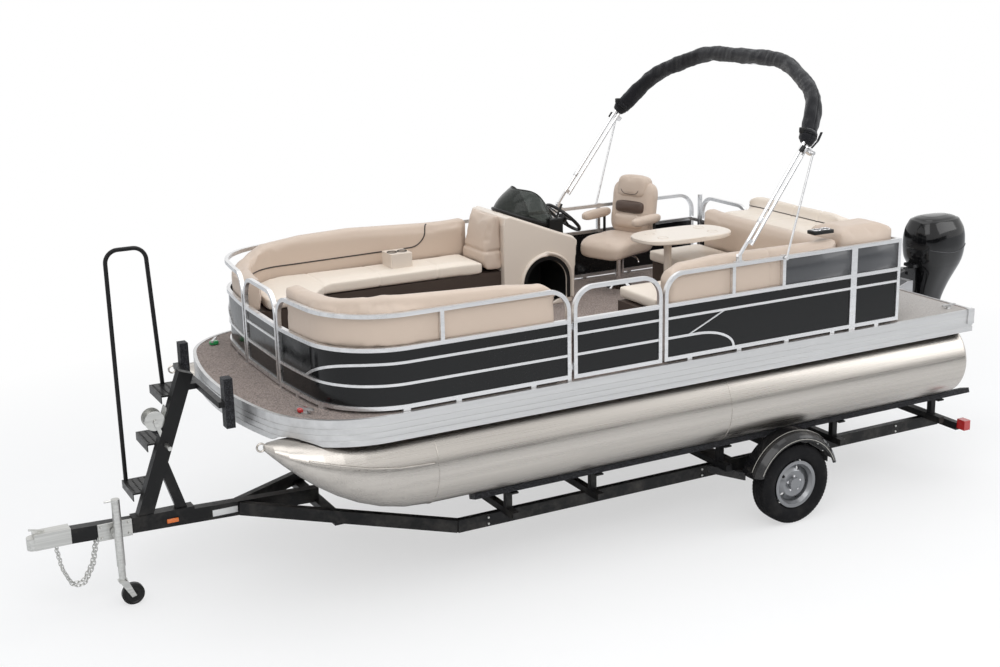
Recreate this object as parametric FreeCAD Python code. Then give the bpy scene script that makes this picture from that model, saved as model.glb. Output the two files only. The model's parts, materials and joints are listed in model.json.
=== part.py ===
import FreeCAD, Part
import math
import os

from FreeCAD import Vector

# A 24 ft pontoon boat on its single-axle bunk trailer. Millimetres.
# X points to the bow, Y to port, Z up, and Z = 0 is the floor under the tyres.
# Inside this file X = 0 is the stern edge of the deck; export moves the model
# so that its origin is the middle of its length, on the floor.

os.makedirs("parts", exist_ok=True)

CLEAR = 0.3            # between pieces that meet on curved faces
RUNNING_FIT = 0.1      # a pin in its hole, on the radius
RUNNING_GAP = 8.0      # between a moving piece and what it passes

# Deck
DECK_TOP = 1408.0
DECK_THICKNESS = 20.0
DECK_HALF = 1295.0
DECK_FRONT = 5700.0
DECK_BOW_RADIUS = 3200.0
DECK_CORNER_RADIUS = 660.0
SKIRT_HEIGHT = 172.0
SKIRT_WIDTH = 24.0
SKIRT_LIP = 4.0
GROOVE_DEPTH = 4.0
GROOVE_HEIGHT = 9.0
NOTCH_TOP = 1278.0       # the arch in the bow skirt over each pontoon's nose
NOTCH_RADIUS = 325.0
CROSS_HEIGHT = 62.0
CROSS_WIDTH = 76.0
CROSS_PITCH = 407.0
CLEAT_LENGTH = 130.0

# Pontoons
PONTOON_RADIUS = 305.0
PONTOON_INSET = 296.0    # from the deck's side to the tube's centre
PONTOON_Y = DECK_HALF - PONTOON_INSET
PONTOON_Z = 978.0
PONTOON_REAR = 26.0
PONTOON_SEAM = 2311.0
NOSE_SETBACK = 10.0
NOSE_LENGTH = 1058.0
NOSE_TIP = DECK_FRONT - NOSE_SETBACK
NOSE_START = NOSE_TIP - NOSE_LENGTH
NOSE_TIP_Z = 1245.0
NOSE_SECTIONS = 9
EYE_RADIUS = 26.0
EYE_WIRE = 6.0
EYE_X = NOSE_TIP + EYE_RADIUS - EYE_WIRE + 1.0
EYE_Z = NOSE_TIP_Z + 6.0
RISER_WIDTH = 120.0

# Fence
FENCE_INSET = 40.0
FENCE_SETBACK = 363.0
FENCE_Y = DECK_HALF - FENCE_INSET
FENCE_FRONT = DECK_FRONT - FENCE_SETBACK
FENCE_BOW_RADIUS = 6500.0
FENCE_CORNER_RADIUS = 500.0
RAIL = 28.0
RAIL_FOOT = 20.0
TOP_RAIL_Z = 2040.0
MID_RAIL_Z = 1823.0
ACCENT_UPPER_Z = 1731.0
ACCENT_LOWER_Z = 1590.0
ACCENT_HEIGHT = 18.0
ACCENT_DEPTH = 9.0
PANEL_THICKNESS = 5.0
HOOP_RADIUS = 130.0
AFT_SECTION_FRONT = 2860.0
AFT_SECTION_REAR = 767.0
AFT_MAIN_POST = 1202.0
AFT_POSTS = (2292.0, 1850.0)
SWEEP_FRONT = 2600.0
SWEEP_REAR = 2285.0
BOW_POST = FENCE_FRONT - 777.0
ACCENT_JOIN_Y = FENCE_Y - 505.0       # where the falling upper accent meets the lower one
ACCENT_LEVEL_INSET = 20.0
STERN_MID_POST = 420.0
STERN_WALKWAY = 860.0     # from the starboard fence to the section behind the sun pad
STERN_SECTION_END = STERN_WALKWAY - FENCE_Y
STERN_GATE_X = 870.0
STERN_GATE_LENGTH = 690.0

# Gates
GATE_GAP = 10.5
BOW_GATE_HALF = 325.0
SIDE_GATE_REAR = 2894.0
SIDE_GATE_FRONT = 3600.0
HINGE_OFFSET = 8.0
HINGE_KNUCKLE = 6.0
HINGE_PIN = 3.0
HINGE_BORE = 3.3
HINGE_HALF = 27.0

# Seating
SEAT_Z = 1830.0
CUSHION = 100.0
BACK_TOP = 2160.0
BACK_DEPTH = 130.0
BACK_INSET = 30.0
BACK_ROUND = 45.0
SEAT_REACH = 615.0
SEAT_FRONT_Y = FENCE_Y - SEAT_REACH
BASE_INSET = 35.0
LOUNGE_PORT_REAR = 3690.0
LOUNGE_STARBOARD_REAR = 3170.0
LOUNGE_TAPER_REAR = FENCE_FRONT - 767.0
LOUNGE_TAPER = 200.0
BOW_WALK_HALF = 400.0
AFT_LOUNGE_FRONT = 2845.0
AFT_SEAT_Y = FENCE_Y - 665.0
CROSS_BACK_X = 1300.0
CROSS_BACK_DEPTH = 125.0
CROSS_SEAT_FRONT = 1950.0
AFT_STARBOARD_Y = STERN_SECTION_END + 45.0
SUNPAD_REAR = 700.0
SUNPAD_Z = 2060.0
SUNPAD_THICK = 105.0
SUNPAD_BOLSTER = 150.0
SUNPAD_CORNER_Y = FENCE_Y - 405.0
CADDY_X = 3920.0
CADDY_Y = -SEAT_FRONT_Y - 225.0
CADDY_LENGTH = 180.0
CADDY_WIDTH = 190.0
CADDY_HEIGHT = 120.0
CUP_PITCH = 84.0
CUP_RADIUS = 36.0

# Helm
CONSOLE_WIDTH = 580.0
CONSOLE_OUTER_Y = -FENCE_Y + 55.0
CONSOLE_INNER_Y = CONSOLE_OUTER_Y + CONSOLE_WIDTH
CONSOLE_REAR = 2490.0
CONSOLE_FRONT = 3110.0
# the dash's outline: forward of the console's rear, above the deck
DASH = ((-50.0, 504.0), (-15.0, 542.0), (170.0, 612.0), (410.0, 707.0), (550.0, 762.0))
DASH_NOSE = 752.0
DASH_FRONT = 692.0
LOCKER_X = CONSOLE_REAR + 235.0
LOCKER_WIDTH = 360.0
LOCKER_DEPTH = 420.0
LOCKER_SILL = 45.0
LOCKER_SPRING = 192.0    # where the locker's arch springs, above the deck
# the windscreen's foot and pane, from the same corner as the dash
SCREEN_FOOT = ((270.0, 640.0), (410.0, 700.0), (540.0, 750.0), (520.0, 792.0), (240.0, 697.0))
SCREEN_PANE = ((470.0, 772.0), (510.0, 788.0), (340.0, 922.0), (300.0, 910.0))
THROTTLE_X = CONSOLE_REAR + 130.0
WHEEL_Y = CONSOLE_OUTER_Y + 350.0
WHEEL_X = 2435.0
WHEEL_Z = 2062.0
WHEEL_RADIUS = 178.0
WHEEL_RIM = 14.0
WHEEL_TILT = 43.0
COLUMN_LENGTH = 70.0
CHAIR_X = 1880.0
CHAIR_Y = CONSOLE_OUTER_Y + 335.0
CHAIR_TURN = 20.0
TABLE_X = 1950.0
TABLE_Y = 130.0
TABLE_Z = 2040.0
TABLE_LENGTH = 800.0
TABLE_WIDTH = 470.0
TABLE_LEG_X = 2075.0

# Bimini
BIMINI_X = 2246.0
BIMINI_Z = 2096.0
BIMINI_Y = FENCE_Y
BIMINI_LEAN = 37.0
BIMINI_LEG = 980.0
BIMINI_RISE = 620.0
BIMINI_TUBE = 12.7
BIMINI_SPREAD = 42.0
BIMINI_BEND = 600.0
BRACE_FOOT_X = 1850.0
BRACE_TOP = BIMINI_LEG - 80.0
BRACE_AFT = 75.0
BRACE_Y = BIMINI_Y + 33.0
BRACE_RADIUS = 8.0
BRACE_EYE = 14.0
BRACE_PIN = 4.0
BOOT_RADIUS = 62.0

# Outboard
POD_REAR = -290.0
TRANSOM_THICKNESS = 45.0
TRANSOM_TOP = 1395.0
TILT_X = -420.0
TILT_Z = 1418.0
STEER_X = -560.0
SHAFT_X = -760.0
PROP_Z = 705.0
PROP_X = -1010.0
PROP_RADIUS = 155.0
COWL_REAR = -1250.0
COWL_FRONT = -485.0
COWL_TOP = 1869.0

# Trailer
TONGUE_WIDTH = 76.0
TONGUE_HEIGHT = 102.0
TONGUE_Z = 447.0
TONGUE_FRONT = 6890.0
TONGUE_REAR = 5000.0
TONGUE_RISE = 0.034
TONGUE_LEVEL_X = 5950.0
COUPLER_NOSE = 7021.0
CHAIN_LOW = 160.0
CHAIN_RADIUS = 7.0
BALL_RADIUS = 25.7
SOCKET_LIP = 52.0
SOCKET_ROOF = 8.0
RAIL_Z = 350.0
RAIL_HEIGHT = 90.0
RAIL_WIDTH = 50.0
RAIL_OUTER_Y = PONTOON_Y - 67.0
RAIL_REAR = -60.0
RAIL_BEND = 4330.0
RAIL_NOSE = 5580.0
NECK_X = 5000.0
KEEPER_HALF = RAIL_OUTER_Y + 248.0
LAMP_WIDTH = 82.0
LAMP_HEIGHT = 80.0
LAMP_DEPTH = 62.0
CROSSBAR_X = (90.0, 1110.0, 2190.0, 3300.0, 3980.0)
CROSSBAR_HEIGHT = 50.0
CROSSBAR_OVERHANG = 121.0
CROSSBAR_HALF = PONTOON_Y + CROSSBAR_OVERHANG
BUNK_WIDTH = 90.0
BUNK_THICKNESS = 40.0
BUNK_OFFSET = 85.0
BUNK_REAR = -180.0
BUNK_FRONT = 4300.0
AXLE_X = 1721.0
AXLE_Z = 309.0
AXLE_TUBE = 60.0
AXLE_ARM = 152.0
AXLE_ARM_HEIGHT = 56.0
AXLE_ARM_WIDTH = 25.0
TYRE_RADIUS = 309.0
TYRE_WIDTH = 170.0
TYRE_OUTER_Y = RAIL_OUTER_Y + 403.0
TYRE_SHOULDER = 30.0
RIM_RADIUS = 182.0
BEAD_RADIUS = 166.0
BEAD_HALF = 60.0
RIM_SLOTS = 5
SPINDLE_RADIUS = 15.0
FENDER_RADIUS = 408.0
FENDER_LIP_RADIUS = 345.0
FENDER_SHEET = 6.0
FENDER_INNER_Y = TYRE_OUTER_Y - 160.0
FENDER_OUTER_Y = TYRE_OUTER_Y + 13.0
FENDER_LOW = 425.0

# Winch stand, steps and jack
POST_FOOT_X = 6250.0
POST_TOP_X = 5885.0
POST_TOP_Z = 1520.0
POST_DEPTH = 100.0
POST_WIDTH = 76.0
STOP_X = DECK_FRONT + 22.0
STOP_HALF_WIDTH = 40.0
STOP_DEPTH = 60.0
STOP_Y = 500.0
STOP_BOTTOM = 1250.0
STOP_TOP = 1585.0
STEP_Z = (700.0, 1030.0, 1350.0)
STEP_WIDTH = 300.0
STEP_DEPTH = 150.0
HANDRAIL_RADIUS = 15.0
HANDRAIL_TOP = 2330.0
BRACE_FOOT = 5975.0
BRACE_HEAD_Z = 950.0
CROSS_BAR_Z = 1415.0
WINCH_Z = 1215.0
JACK_X = 6453.0
JACK_Y = 135.0
JACK_TOP = 765.0
JACK_TUBE_LOW = 291.0
JACK_PIVOT_Z = 512.0
JACK_PLATE_LENGTH = 228.0
JACK_PLATE_HEIGHT = 117.0
JACK_OUTER = 28.5
JACK_BORE = 24.8
JACK_INNER = 24.0
CASTER_RADIUS = 76.0
CASTER_WIDTH = 42.0
CASTER_TRAIL = 60.0

# Stern ladder
LADDER_Y = -800.0
LADDER_HALF = 170.0
LADDER_X = -30.0
LADDER_Z = DECK_TOP + 26.0
LADDER_LENGTH = 640.0
LADDER_TUBE = 12.5

ORIGIN_X = (COUPLER_NOSE + COWL_REAR) / 2


def box(x0, x1, y0, y1, z0, z1):
    """A block between two corners."""
    return Part.makeBox(x1 - x0, y1 - y0, z1 - z0, Vector(x0, y0, z0))


def rod(a, b, radius):
    """A round bar from point a to point b."""
    start, end = Vector(*a), Vector(*b)
    return Part.makeCylinder(radius, start.distanceToPoint(end), start, end - start)


def bar(a, b, width, height):
    """A rectangular bar from a to b, its height square to Y and its width along Y."""
    start, end = Vector(*a), Vector(*b)
    length = start.distanceToPoint(end)
    blank = Part.makeBox(length, width, height, Vector(0, -width / 2, -height / 2))
    run = end - start
    yaw = math.degrees(math.atan2(run.y, run.x))
    pitch = -math.degrees(math.atan2(run.z, math.hypot(run.x, run.y)))
    blank.rotate(Vector(0, 0, 0), Vector(0, 1, 0), pitch)
    blank.rotate(Vector(0, 0, 0), Vector(0, 0, 1), yaw)
    blank.translate(start)
    return blank


def side_plate(points, y0, y1):
    """A plate with its outline in the XZ plane, from y0 to y1."""
    corners = [Vector(x, y0, z) for x, z in points]
    face = Part.Face(Part.makePolygon(corners + corners[:1]))
    return face.extrude(Vector(0, y1 - y0, 0))


def flat_plate(points, z0, z1):
    """A plate with its outline in the XY plane, from z0 to z1."""
    corners = [Vector(x, y, z0) for x, y in points]
    face = Part.Face(Part.makePolygon(corners + corners[:1]))
    return face.extrude(Vector(0, 0, z1 - z0))


def fuse(shapes):
    """One solid of shapes that touch or overlap."""
    joined = shapes[0].multiFuse(shapes[1:]) if len(shapes) > 1 else shapes[0]
    return joined.removeSplitter()


def mirrored(shape):
    """The same shape on the other side of the boat."""
    return shape.mirror(Vector(0, 0, 0), Vector(0, 1, 0))


def pair(shape):
    """A shape and its mirror image."""
    return [shape, mirrored(shape)]


def together(shapes):
    """Separate solids that share a node."""
    return Part.makeCompound(shapes)


def tube_section(centre, heading, radius, sides):
    """The polygon that a slim tube's section is drawn as, square to its heading."""
    across = heading.cross(Vector(0, 0, 1))
    if across.Length < 0.01:
        across = heading.cross(Vector(0, 1, 0))
    across.normalize()
    upward = across.cross(heading).normalize()
    corners = []
    for index in range(sides):
        turn = 2 * math.pi * (index + 0.5) / sides
        corners.append(centre + across * (radius * math.cos(turn))
                       + upward * (radius * math.sin(turn)))
    return Part.Face(Part.makePolygon(corners + corners[:1]))


def bent_tube(points, radius, bend, sides=8):
    """A tube along straight runs joined by tangent bends of one radius."""
    spots = [Vector(*p) for p in points]
    heading = (spots[1] - spots[0]).normalize()
    section = tube_section(spots[0], heading, radius, sides)
    shapes = []
    last = spots[0]
    for before, corner, after in zip(spots, spots[1:], spots[2:]):
        into = (before - corner).normalize()
        out = (after - corner).normalize()
        opening = into.getAngle(out)
        reach = bend / math.tan(opening / 2)
        start = corner + into * reach
        centre = corner + (into + out).normalize() * (bend / math.sin(opening / 2))
        axis = out.cross(into).normalize()
        turn = math.degrees(math.pi - opening)
        shapes.append(section.extrude(start - last))
        section.translate(start - last)
        shapes.append(section.revolve(centre, axis, turn))
        section.rotate(centre, axis, turn)
        last = corner + out * reach
    shapes.append(section.extrude(spots[-1] - last))
    return fuse(shapes)


def rounded_section(x0, x1, half, corner, z):
    """A level rounded rectangle for a loft."""
    corners = ((x1 - corner, half - corner, 0), (x0 + corner, half - corner, 90),
               (x0 + corner, corner - half, 180), (x1 - corner, corner - half, 270))
    edges = []
    ends = []
    for x, y, start in corners:
        spots = []
        for angle in (start, start + 45, start + 90):
            turn = math.radians(angle)
            spots.append(Vector(x + corner * math.cos(turn), y + corner * math.sin(turn), z))
        edges.append(Part.Arc(*spots).toShape())
        ends.append((spots[0], spots[2]))
    joined = []
    for index, edge in enumerate(edges):
        following = ends[(index + 1) % len(ends)][0]
        joined.append(edge)
        joined.append(Part.LineSegment(ends[index][1], following).toShape())
    return Part.Wire(joined)


def boat_outline(half, front, bow_radius, corner_radius, x0, z):
    """The plan of the deck or fence: straight sides, round corners and a shallow bow arc."""
    bow_centre = front - bow_radius
    corner_y = half - corner_radius
    reach = bow_radius - corner_radius
    corner_x = bow_centre + math.sqrt(reach ** 2 - corner_y ** 2)
    lean = math.atan2(corner_y, corner_x - bow_centre)
    meet = Vector(bow_centre + bow_radius * math.cos(lean), bow_radius * math.sin(lean), z)
    side = Vector(corner_x, half, z)
    halfway = (lean + math.pi / 2) / 2
    middle = Vector(corner_x + corner_radius * math.cos(halfway),
                    corner_y + corner_radius * math.sin(halfway), z)

    def flip(point):
        return Vector(point.x, -point.y, point.z)

    rear = Vector(x0, half, z)
    edges = [Part.LineSegment(flip(rear), flip(side)).toShape(),
             Part.Arc(flip(side), flip(middle), flip(meet)).toShape(),
             Part.Arc(flip(meet), Vector(front, 0, z), meet).toShape(),
             Part.Arc(meet, middle, side).toShape(),
             Part.LineSegment(side, rear).toShape(),
             Part.LineSegment(rear, flip(rear)).toShape()]
    return Part.Face(Part.Wire(edges))


def deck_solid(inset, z0, z1, x0=0.0):
    """The deck's plan, drawn in by an inset, between two heights."""
    face = boat_outline(DECK_HALF - inset, DECK_FRONT - inset, DECK_BOW_RADIUS - inset,
                        DECK_CORNER_RADIUS - inset, x0, z0)
    return face.extrude(Vector(0, 0, z1 - z0))


def fence_solid(inset, z0, z1, x0=0.0):
    """The fence line's plan, drawn in by an inset, between two heights."""
    face = boat_outline(FENCE_Y - inset, FENCE_FRONT - inset, FENCE_BOW_RADIUS - inset,
                        FENCE_CORNER_RADIUS - inset, x0, z0)
    return face.extrude(Vector(0, 0, z1 - z0))


def fence_band(outer, inner, z0, z1, region):
    """A wall that follows the fence between two insets, kept inside a region in plan."""
    x0, x1, y0, y1 = region
    ring = fence_solid(outer, z0, z1).cut(fence_solid(inner, z0 - 1, z1 + 1, -10.0))
    return ring.common(box(x0, x1, y0, y1, z0 - 1, z1 + 1))


def fence_x(y):
    """Where the fence line's bow arc lies at a distance off the centreline."""
    return FENCE_FRONT - FENCE_BOW_RADIUS + math.sqrt(FENCE_BOW_RADIUS ** 2 - y ** 2)


BOTTOM_RAIL_Z = DECK_TOP + RAIL_FOOT + RAIL / 2
PANEL_LOW = BOTTOM_RAIL_Z + RAIL / 2
PANEL_HIGH = MID_RAIL_Z - RAIL / 2
BOW_POST_Y = BOW_GATE_HALF + 2 * GATE_GAP + RAIL / 2
BOW_GATE_X = fence_x(BOW_POST_Y)
BOW_SECTION_REAR = SIDE_GATE_FRONT + 2 * GATE_GAP + RAIL / 2
PORT_REGION = (BOW_SECTION_REAR - RAIL / 2, DECK_FRONT, BOW_POST_Y - RAIL / 2, DECK_HALF)


# Pontoons

def nose_section(share):
    """A nose section: the round tube drawn up to the tip while its top stays level."""
    x = NOSE_START + (NOSE_TIP - NOSE_START) * share
    top = PONTOON_Z + PONTOON_RADIUS - 18.0 * share
    low = PONTOON_Z - PONTOON_RADIUS
    keel = low + (NOSE_TIP_Z - 22.0 - low) * share ** 2.1
    wide = PONTOON_RADIUS * math.sqrt(max(1 - share ** 2.6, 0.006))
    centre = Vector(x, 0, (top + keel) / 2)
    tall = (top - keel) / 2
    if wide >= tall:
        ring = Part.Ellipse(centre + Vector(0, wide, 0), centre + Vector(0, 0, tall), centre)
    else:
        ring = Part.Ellipse(centre + Vector(0, 0, tall), centre - Vector(0, wide, 0), centre)
    return Part.Wire(ring.toShape())


def pontoon():
    """One tube with a domed stern, a seam bead and a nose cone with its mooring eye."""
    tube = rod((PONTOON_REAR + 40, 0, PONTOON_Z), (NOSE_START, 0, PONTOON_Z), PONTOON_RADIUS)
    cap = rod((PONTOON_REAR, 0, PONTOON_Z), (PONTOON_REAR + 41, 0, PONTOON_Z), PONTOON_RADIUS - 1)
    cap = cap.makeFillet(34.0, [edge for edge in cap.Edges
                                if edge.BoundBox.XMax < PONTOON_REAR + 1])
    wall = Part.makeCircle(PONTOON_RADIUS, Vector(NOSE_START, 0, PONTOON_Z), Vector(1, 0, 0))
    shares = [1 - (1 - index / NOSE_SECTIONS) ** 1.5 for index in range(1, NOSE_SECTIONS + 1)]
    sections = [Part.Wire(wall)] + [nose_section(share) for share in shares]
    nose = Part.makeLoft(sections, True, True)
    eye = ring_profile([(EYE_RADIUS - EYE_WIRE, -EYE_WIRE / 2), (EYE_RADIUS, -EYE_WIRE),
                        (EYE_RADIUS + EYE_WIRE, -EYE_WIRE / 2), (EYE_RADIUS + EYE_WIRE, EYE_WIRE / 2),
                        (EYE_RADIUS, EYE_WIRE), (EYE_RADIUS - EYE_WIRE, EYE_WIRE / 2)])
    eye.translate(Vector(EYE_X, 0, EYE_Z))
    tube = fuse([cap, tube, nose, eye])
    tube.translate(Vector(0, PONTOON_Y, 0))
    return tube


def riser():
    """The bracket that carries the deck along the top of one pontoon."""
    low = PONTOON_Z + PONTOON_RADIUS - 14
    high = DECK_TOP - DECK_THICKNESS - CROSS_HEIGHT
    rail = box(60, NOSE_START - 20, PONTOON_Y - RISER_WIDTH / 2, PONTOON_Y + RISER_WIDTH / 2,
               low, high)
    tube = rod((0, PONTOON_Y, PONTOON_Z), (NOSE_START, PONTOON_Y, PONTOON_Z),
               PONTOON_RADIUS + CLEAR)
    return rail.cut(tube)


def deck_frame():
    """Cross channels under the deck, carried by a riser on each pontoon."""
    high = DECK_TOP - DECK_THICKNESS
    low = high - CROSS_HEIGHT
    beams = []
    x = 60.0
    inside = deck_solid(SKIRT_WIDTH + CLEAR, low, high)
    while x < DECK_FRONT - 300:
        beam = box(x, x + CROSS_WIDTH, -DECK_HALF, DECK_HALF, low, high)
        groove = box(x + 16, x + CROSS_WIDTH - 16, -DECK_HALF, DECK_HALF, low, high - 6)
        beams.append(beam.cut(groove).common(inside))
        x += CROSS_PITCH
    return fuse(beams + pair(riser()))


def deck_floor():
    """The carpeted plywood deck inside its edge extrusion."""
    return deck_solid(SKIRT_WIDTH, DECK_TOP - DECK_THICKNESS, DECK_TOP, SKIRT_WIDTH)


def cleat(x, y, turn):
    """A low horned cleat on the deck."""
    foot = box(-26, 26, -16, 16, DECK_TOP, DECK_TOP + 8)
    neck = box(-18, 18, -8, 8, DECK_TOP + 8, DECK_TOP + 30)
    horn = box(-CLEAT_LENGTH / 2, CLEAT_LENGTH / 2, -9, 9, DECK_TOP + 26, DECK_TOP + 38)
    body = fuse([foot, neck, horn])
    body.rotate(Vector(0, 0, 0), Vector(0, 0, 1), turn)
    body.translate(Vector(x, y, 0))
    return body


def deck_trim():
    """The grooved edge extrusion round the deck, its stern corner caps and the cleats."""
    low = DECK_TOP - SKIRT_HEIGHT
    wall = deck_solid(0, low, DECK_TOP + SKIRT_LIP)
    wall = wall.cut(deck_solid(SKIRT_WIDTH, low - 1, DECK_TOP + 10, SKIRT_WIDTH))
    for level in (0.22, 0.45, 0.68):
        z = low + SKIRT_HEIGHT * level
        groove = deck_solid(-5, z, z + GROOVE_HEIGHT, -10.0)
        wall = wall.cut(groove.cut(deck_solid(GROOVE_DEPTH, z - 1, z + GROOVE_HEIGHT + 1,
                                              GROOVE_DEPTH)))
    cap = box(-9, 60, DECK_HALF - SKIRT_WIDTH, DECK_HALF + 9, low + 62, DECK_TOP + 9)
    cap = cap.makeFillet(8.0, [edge for edge in cap.Edges
                               if edge.BoundBox.XMax < -8 and edge.BoundBox.XLength < 1])
    notch = rod((DECK_FRONT - 480, PONTOON_Y, NOTCH_TOP - NOTCH_RADIUS),
                (DECK_FRONT, PONTOON_Y, NOTCH_TOP - NOTCH_RADIUS), NOTCH_RADIUS)
    wall = fuse([wall] + pair(cap)).cut(together(pair(notch)))
    bow_x, bow_y, side = DECK_FRONT - 310, DECK_HALF - 335, DECK_HALF - 115
    cleats = [cleat(bow_x, bow_y, -60), cleat(bow_x, -bow_y, 60),
              cleat(150, side, 0), cleat(150, -side, 0)]
    return together([wall] + cleats + ladder_mounts())


def motor_pod():
    """The engine pod between the pontoons with its transom."""
    under = DECK_TOP - DECK_THICKNESS - CROSS_HEIGHT
    shelf = DECK_TOP - SKIRT_HEIGHT - CLEAR
    inside = SKIRT_WIDTH + CLEAR
    profile = [(POD_REAR, 1000), (-40, 930), (900, 1060), (1150, under - CLEAR),
               (inside, under - CLEAR), (inside, shelf), (POD_REAR, shelf)]
    body = side_plate(profile, -330, 330)
    transom = box(POD_REAR - TRANSOM_THICKNESS, POD_REAR, -280, 280, 985, TRANSOM_TOP)
    wings = [side_plate([(POD_REAR, shelf), (-12, shelf), (-12, 1300),
                         (POD_REAR, TRANSOM_TOP)], y, y + 12) for y in (-280, 268)]
    return fuse([body, transom] + wings)


# Fence

def fence_frame(x0, x1, y, front_hoop, rear_hoop, low=None):
    """A flat rail frame along X: bottom, mid and top rails with round or square top corners."""
    bottom = DECK_TOP + RAIL_FOOT if low is None else low
    top = TOP_RAIL_Z + RAIL / 2
    outer = box(x0, x1, y - RAIL / 2, y + RAIL / 2, bottom, top)
    inner = box(x0 + RAIL, x1 - RAIL, y - RAIL, y + RAIL, bottom + RAIL, top - RAIL)
    outer_edges = []
    inner_edges = []
    for hooped, x_out, x_in in ((front_hoop, x1, x1 - RAIL), (rear_hoop, x0, x0 + RAIL)):
        if hooped:
            outer_edges += corner_edges(outer, x_out, top)
            inner_edges += corner_edges(inner, x_in, top - RAIL)
    if outer_edges:
        outer = outer.makeFillet(HOOP_RADIUS + RAIL, outer_edges)
        inner = inner.makeFillet(HOOP_RADIUS, inner_edges)
    mid = box(x0 + RAIL / 2, x1 - RAIL / 2, y - RAIL / 2, y + RAIL / 2,
              MID_RAIL_Z - RAIL / 2, MID_RAIL_Z + RAIL / 2)
    return fuse([outer.cut(inner), mid])


def corner_edges(solid, x, z):
    """The edges along Y at one corner of a block."""
    return [edge for edge in solid.Edges
            if abs(edge.BoundBox.XMin - x) < 0.01 and abs(edge.BoundBox.XMax - x) < 0.01
            and abs(edge.BoundBox.ZMin - z) < 0.01 and abs(edge.BoundBox.ZMax - z) < 0.01]


def feet(x0, x1, y, count):
    """The short feet that stand a bottom rail off the deck."""
    shapes = []
    for index in range(count):
        x = x0 + (x1 - x0) * (index + 0.5) / count
        shapes.append(box(x - 20, x + 20, y - RAIL / 2, y + RAIL / 2, DECK_TOP,
                          DECK_TOP + RAIL_FOOT + 1))
    return shapes


def short_post(x, y):
    """A post between the mid rail and the top rail."""
    return box(x - RAIL / 2, x + RAIL / 2, y - RAIL / 2, y + RAIL / 2, MID_RAIL_Z, TOP_RAIL_Z)


def accent(x0, x1, y, z):
    """A thin rail on the outer face of a panel."""
    outward = math.copysign(1.0, y)
    face = y + outward * PANEL_THICKNESS / 2
    y0, y1 = sorted((face + outward * CLEAR, face + outward * ACCENT_DEPTH))
    return box(x0, x1, y0, y1, z - ACCENT_HEIGHT / 2, z + ACCENT_HEIGHT / 2)


def bow_section():
    """The port bow rails: round the corner from the side gate to the bow gate."""
    half = RAIL / 2
    region = PORT_REGION
    rails = [fence_band(-half, half, z - half, z + half, region)
             for z in (BOTTOM_RAIL_Z, MID_RAIL_Z)]
    hoop_x = BOW_SECTION_REAR - half + HOOP_RADIUS + RAIL
    hoop_y = BOW_POST_Y - half + HOOP_RADIUS + RAIL
    rails.append(fence_band(-half, half, TOP_RAIL_Z - half, TOP_RAIL_Z + half,
                            (hoop_x - 1, DECK_FRONT, hoop_y - 1, DECK_HALF)))
    rails.append(hoop_leg(BOW_SECTION_REAR, FENCE_Y, 0))
    heading = math.degrees(math.asin(hoop_y / FENCE_BOW_RADIUS))
    rails.append(hoop_leg(fence_x(BOW_POST_Y), BOW_POST_Y, 90 + heading))
    rails.append(short_post(BOW_POST, FENCE_Y))
    rails.append(accent_band(ACCENT_LOWER_Z, ACCENT_LOWER_Z, region))
    rails += falling_accent()
    for x in (BOW_POST - 650, BOW_POST - 100):
        rails += feet(x, x, FENCE_Y, 1)
    rails += corner_feet()
    return fuse(rails)


def accent_band(low, high, region):
    """A thin rail that follows the outer face of the bow panels, between two centre heights."""
    return fence_band(-PANEL_THICKNESS / 2 - ACCENT_DEPTH, -PANEL_THICKNESS / 2 - CLEAR,
                      low - ACCENT_HEIGHT / 2, high + ACCENT_HEIGHT / 2, region)


def falling_accent():
    """The upper accent: level along the side, then down an arc round the bow corner."""
    level_y = FENCE_Y - ACCENT_LEVEL_INSET
    reach, fall = level_y - ACCENT_JOIN_Y, ACCENT_UPPER_Z - ACCENT_LOWER_Z
    radius = (reach ** 2 + fall ** 2) / (2 * fall)
    centre = Vector(BOW_SECTION_REAR, level_y, ACCENT_UPPER_Z - radius)
    outer, inner = [Part.makeCylinder(radius + grow, DECK_FRONT, centre, Vector(1, 0, 0))
                    for grow in (ACCENT_HEIGHT / 2, -ACCENT_HEIGHT / 2)]
    corner = accent_band(ACCENT_LOWER_Z, ACCENT_UPPER_Z,
                         (BOW_SECTION_REAR, DECK_FRONT, ACCENT_JOIN_Y, level_y))
    side = accent_band(ACCENT_UPPER_Z, ACCENT_UPPER_Z,
                       (BOW_SECTION_REAR, DECK_FRONT, level_y, DECK_HALF))
    return [corner.common(outer).cut(inner), side]


def corner_feet():
    """Feet under the curved part of the bow rails."""
    shapes = []
    front, side = FENCE_FRONT, FENCE_Y
    for region in ((front - 537, front - 487, side - 355, DECK_HALF),
                   (front - 227, front + 73, side - 355, side - 315),
                   (front - 227, front + 73, side - 655, side - 615)):
        shapes.append(fence_band(-RAIL / 2, RAIL / 2, DECK_TOP, DECK_TOP + RAIL_FOOT + 1, region))
    return shapes


def hoop_leg(x, y, turn):
    """An end post with the quarter bend that carries it into the top rail."""
    half = RAIL / 2
    bend = HOOP_RADIUS + RAIL
    top = TOP_RAIL_Z + half
    post = box(-half, half, -half, half, DECK_TOP, top - bend + 1)
    ring = Part.makeCylinder(bend, RAIL, Vector(bend - half, half, top - bend), Vector(0, -1, 0))
    hole = Part.makeCylinder(HOOP_RADIUS, RAIL + 2, Vector(bend - half, half + 1, top - bend),
                             Vector(0, -1, 0))
    quarter = ring.cut(hole).common(box(-half, bend - half, -half, half, top - bend, top))
    leg = fuse([post, quarter])
    leg.rotate(Vector(0, 0, 0), Vector(0, 0, 1), turn)
    leg.translate(Vector(x, y, 0))
    return leg


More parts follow.
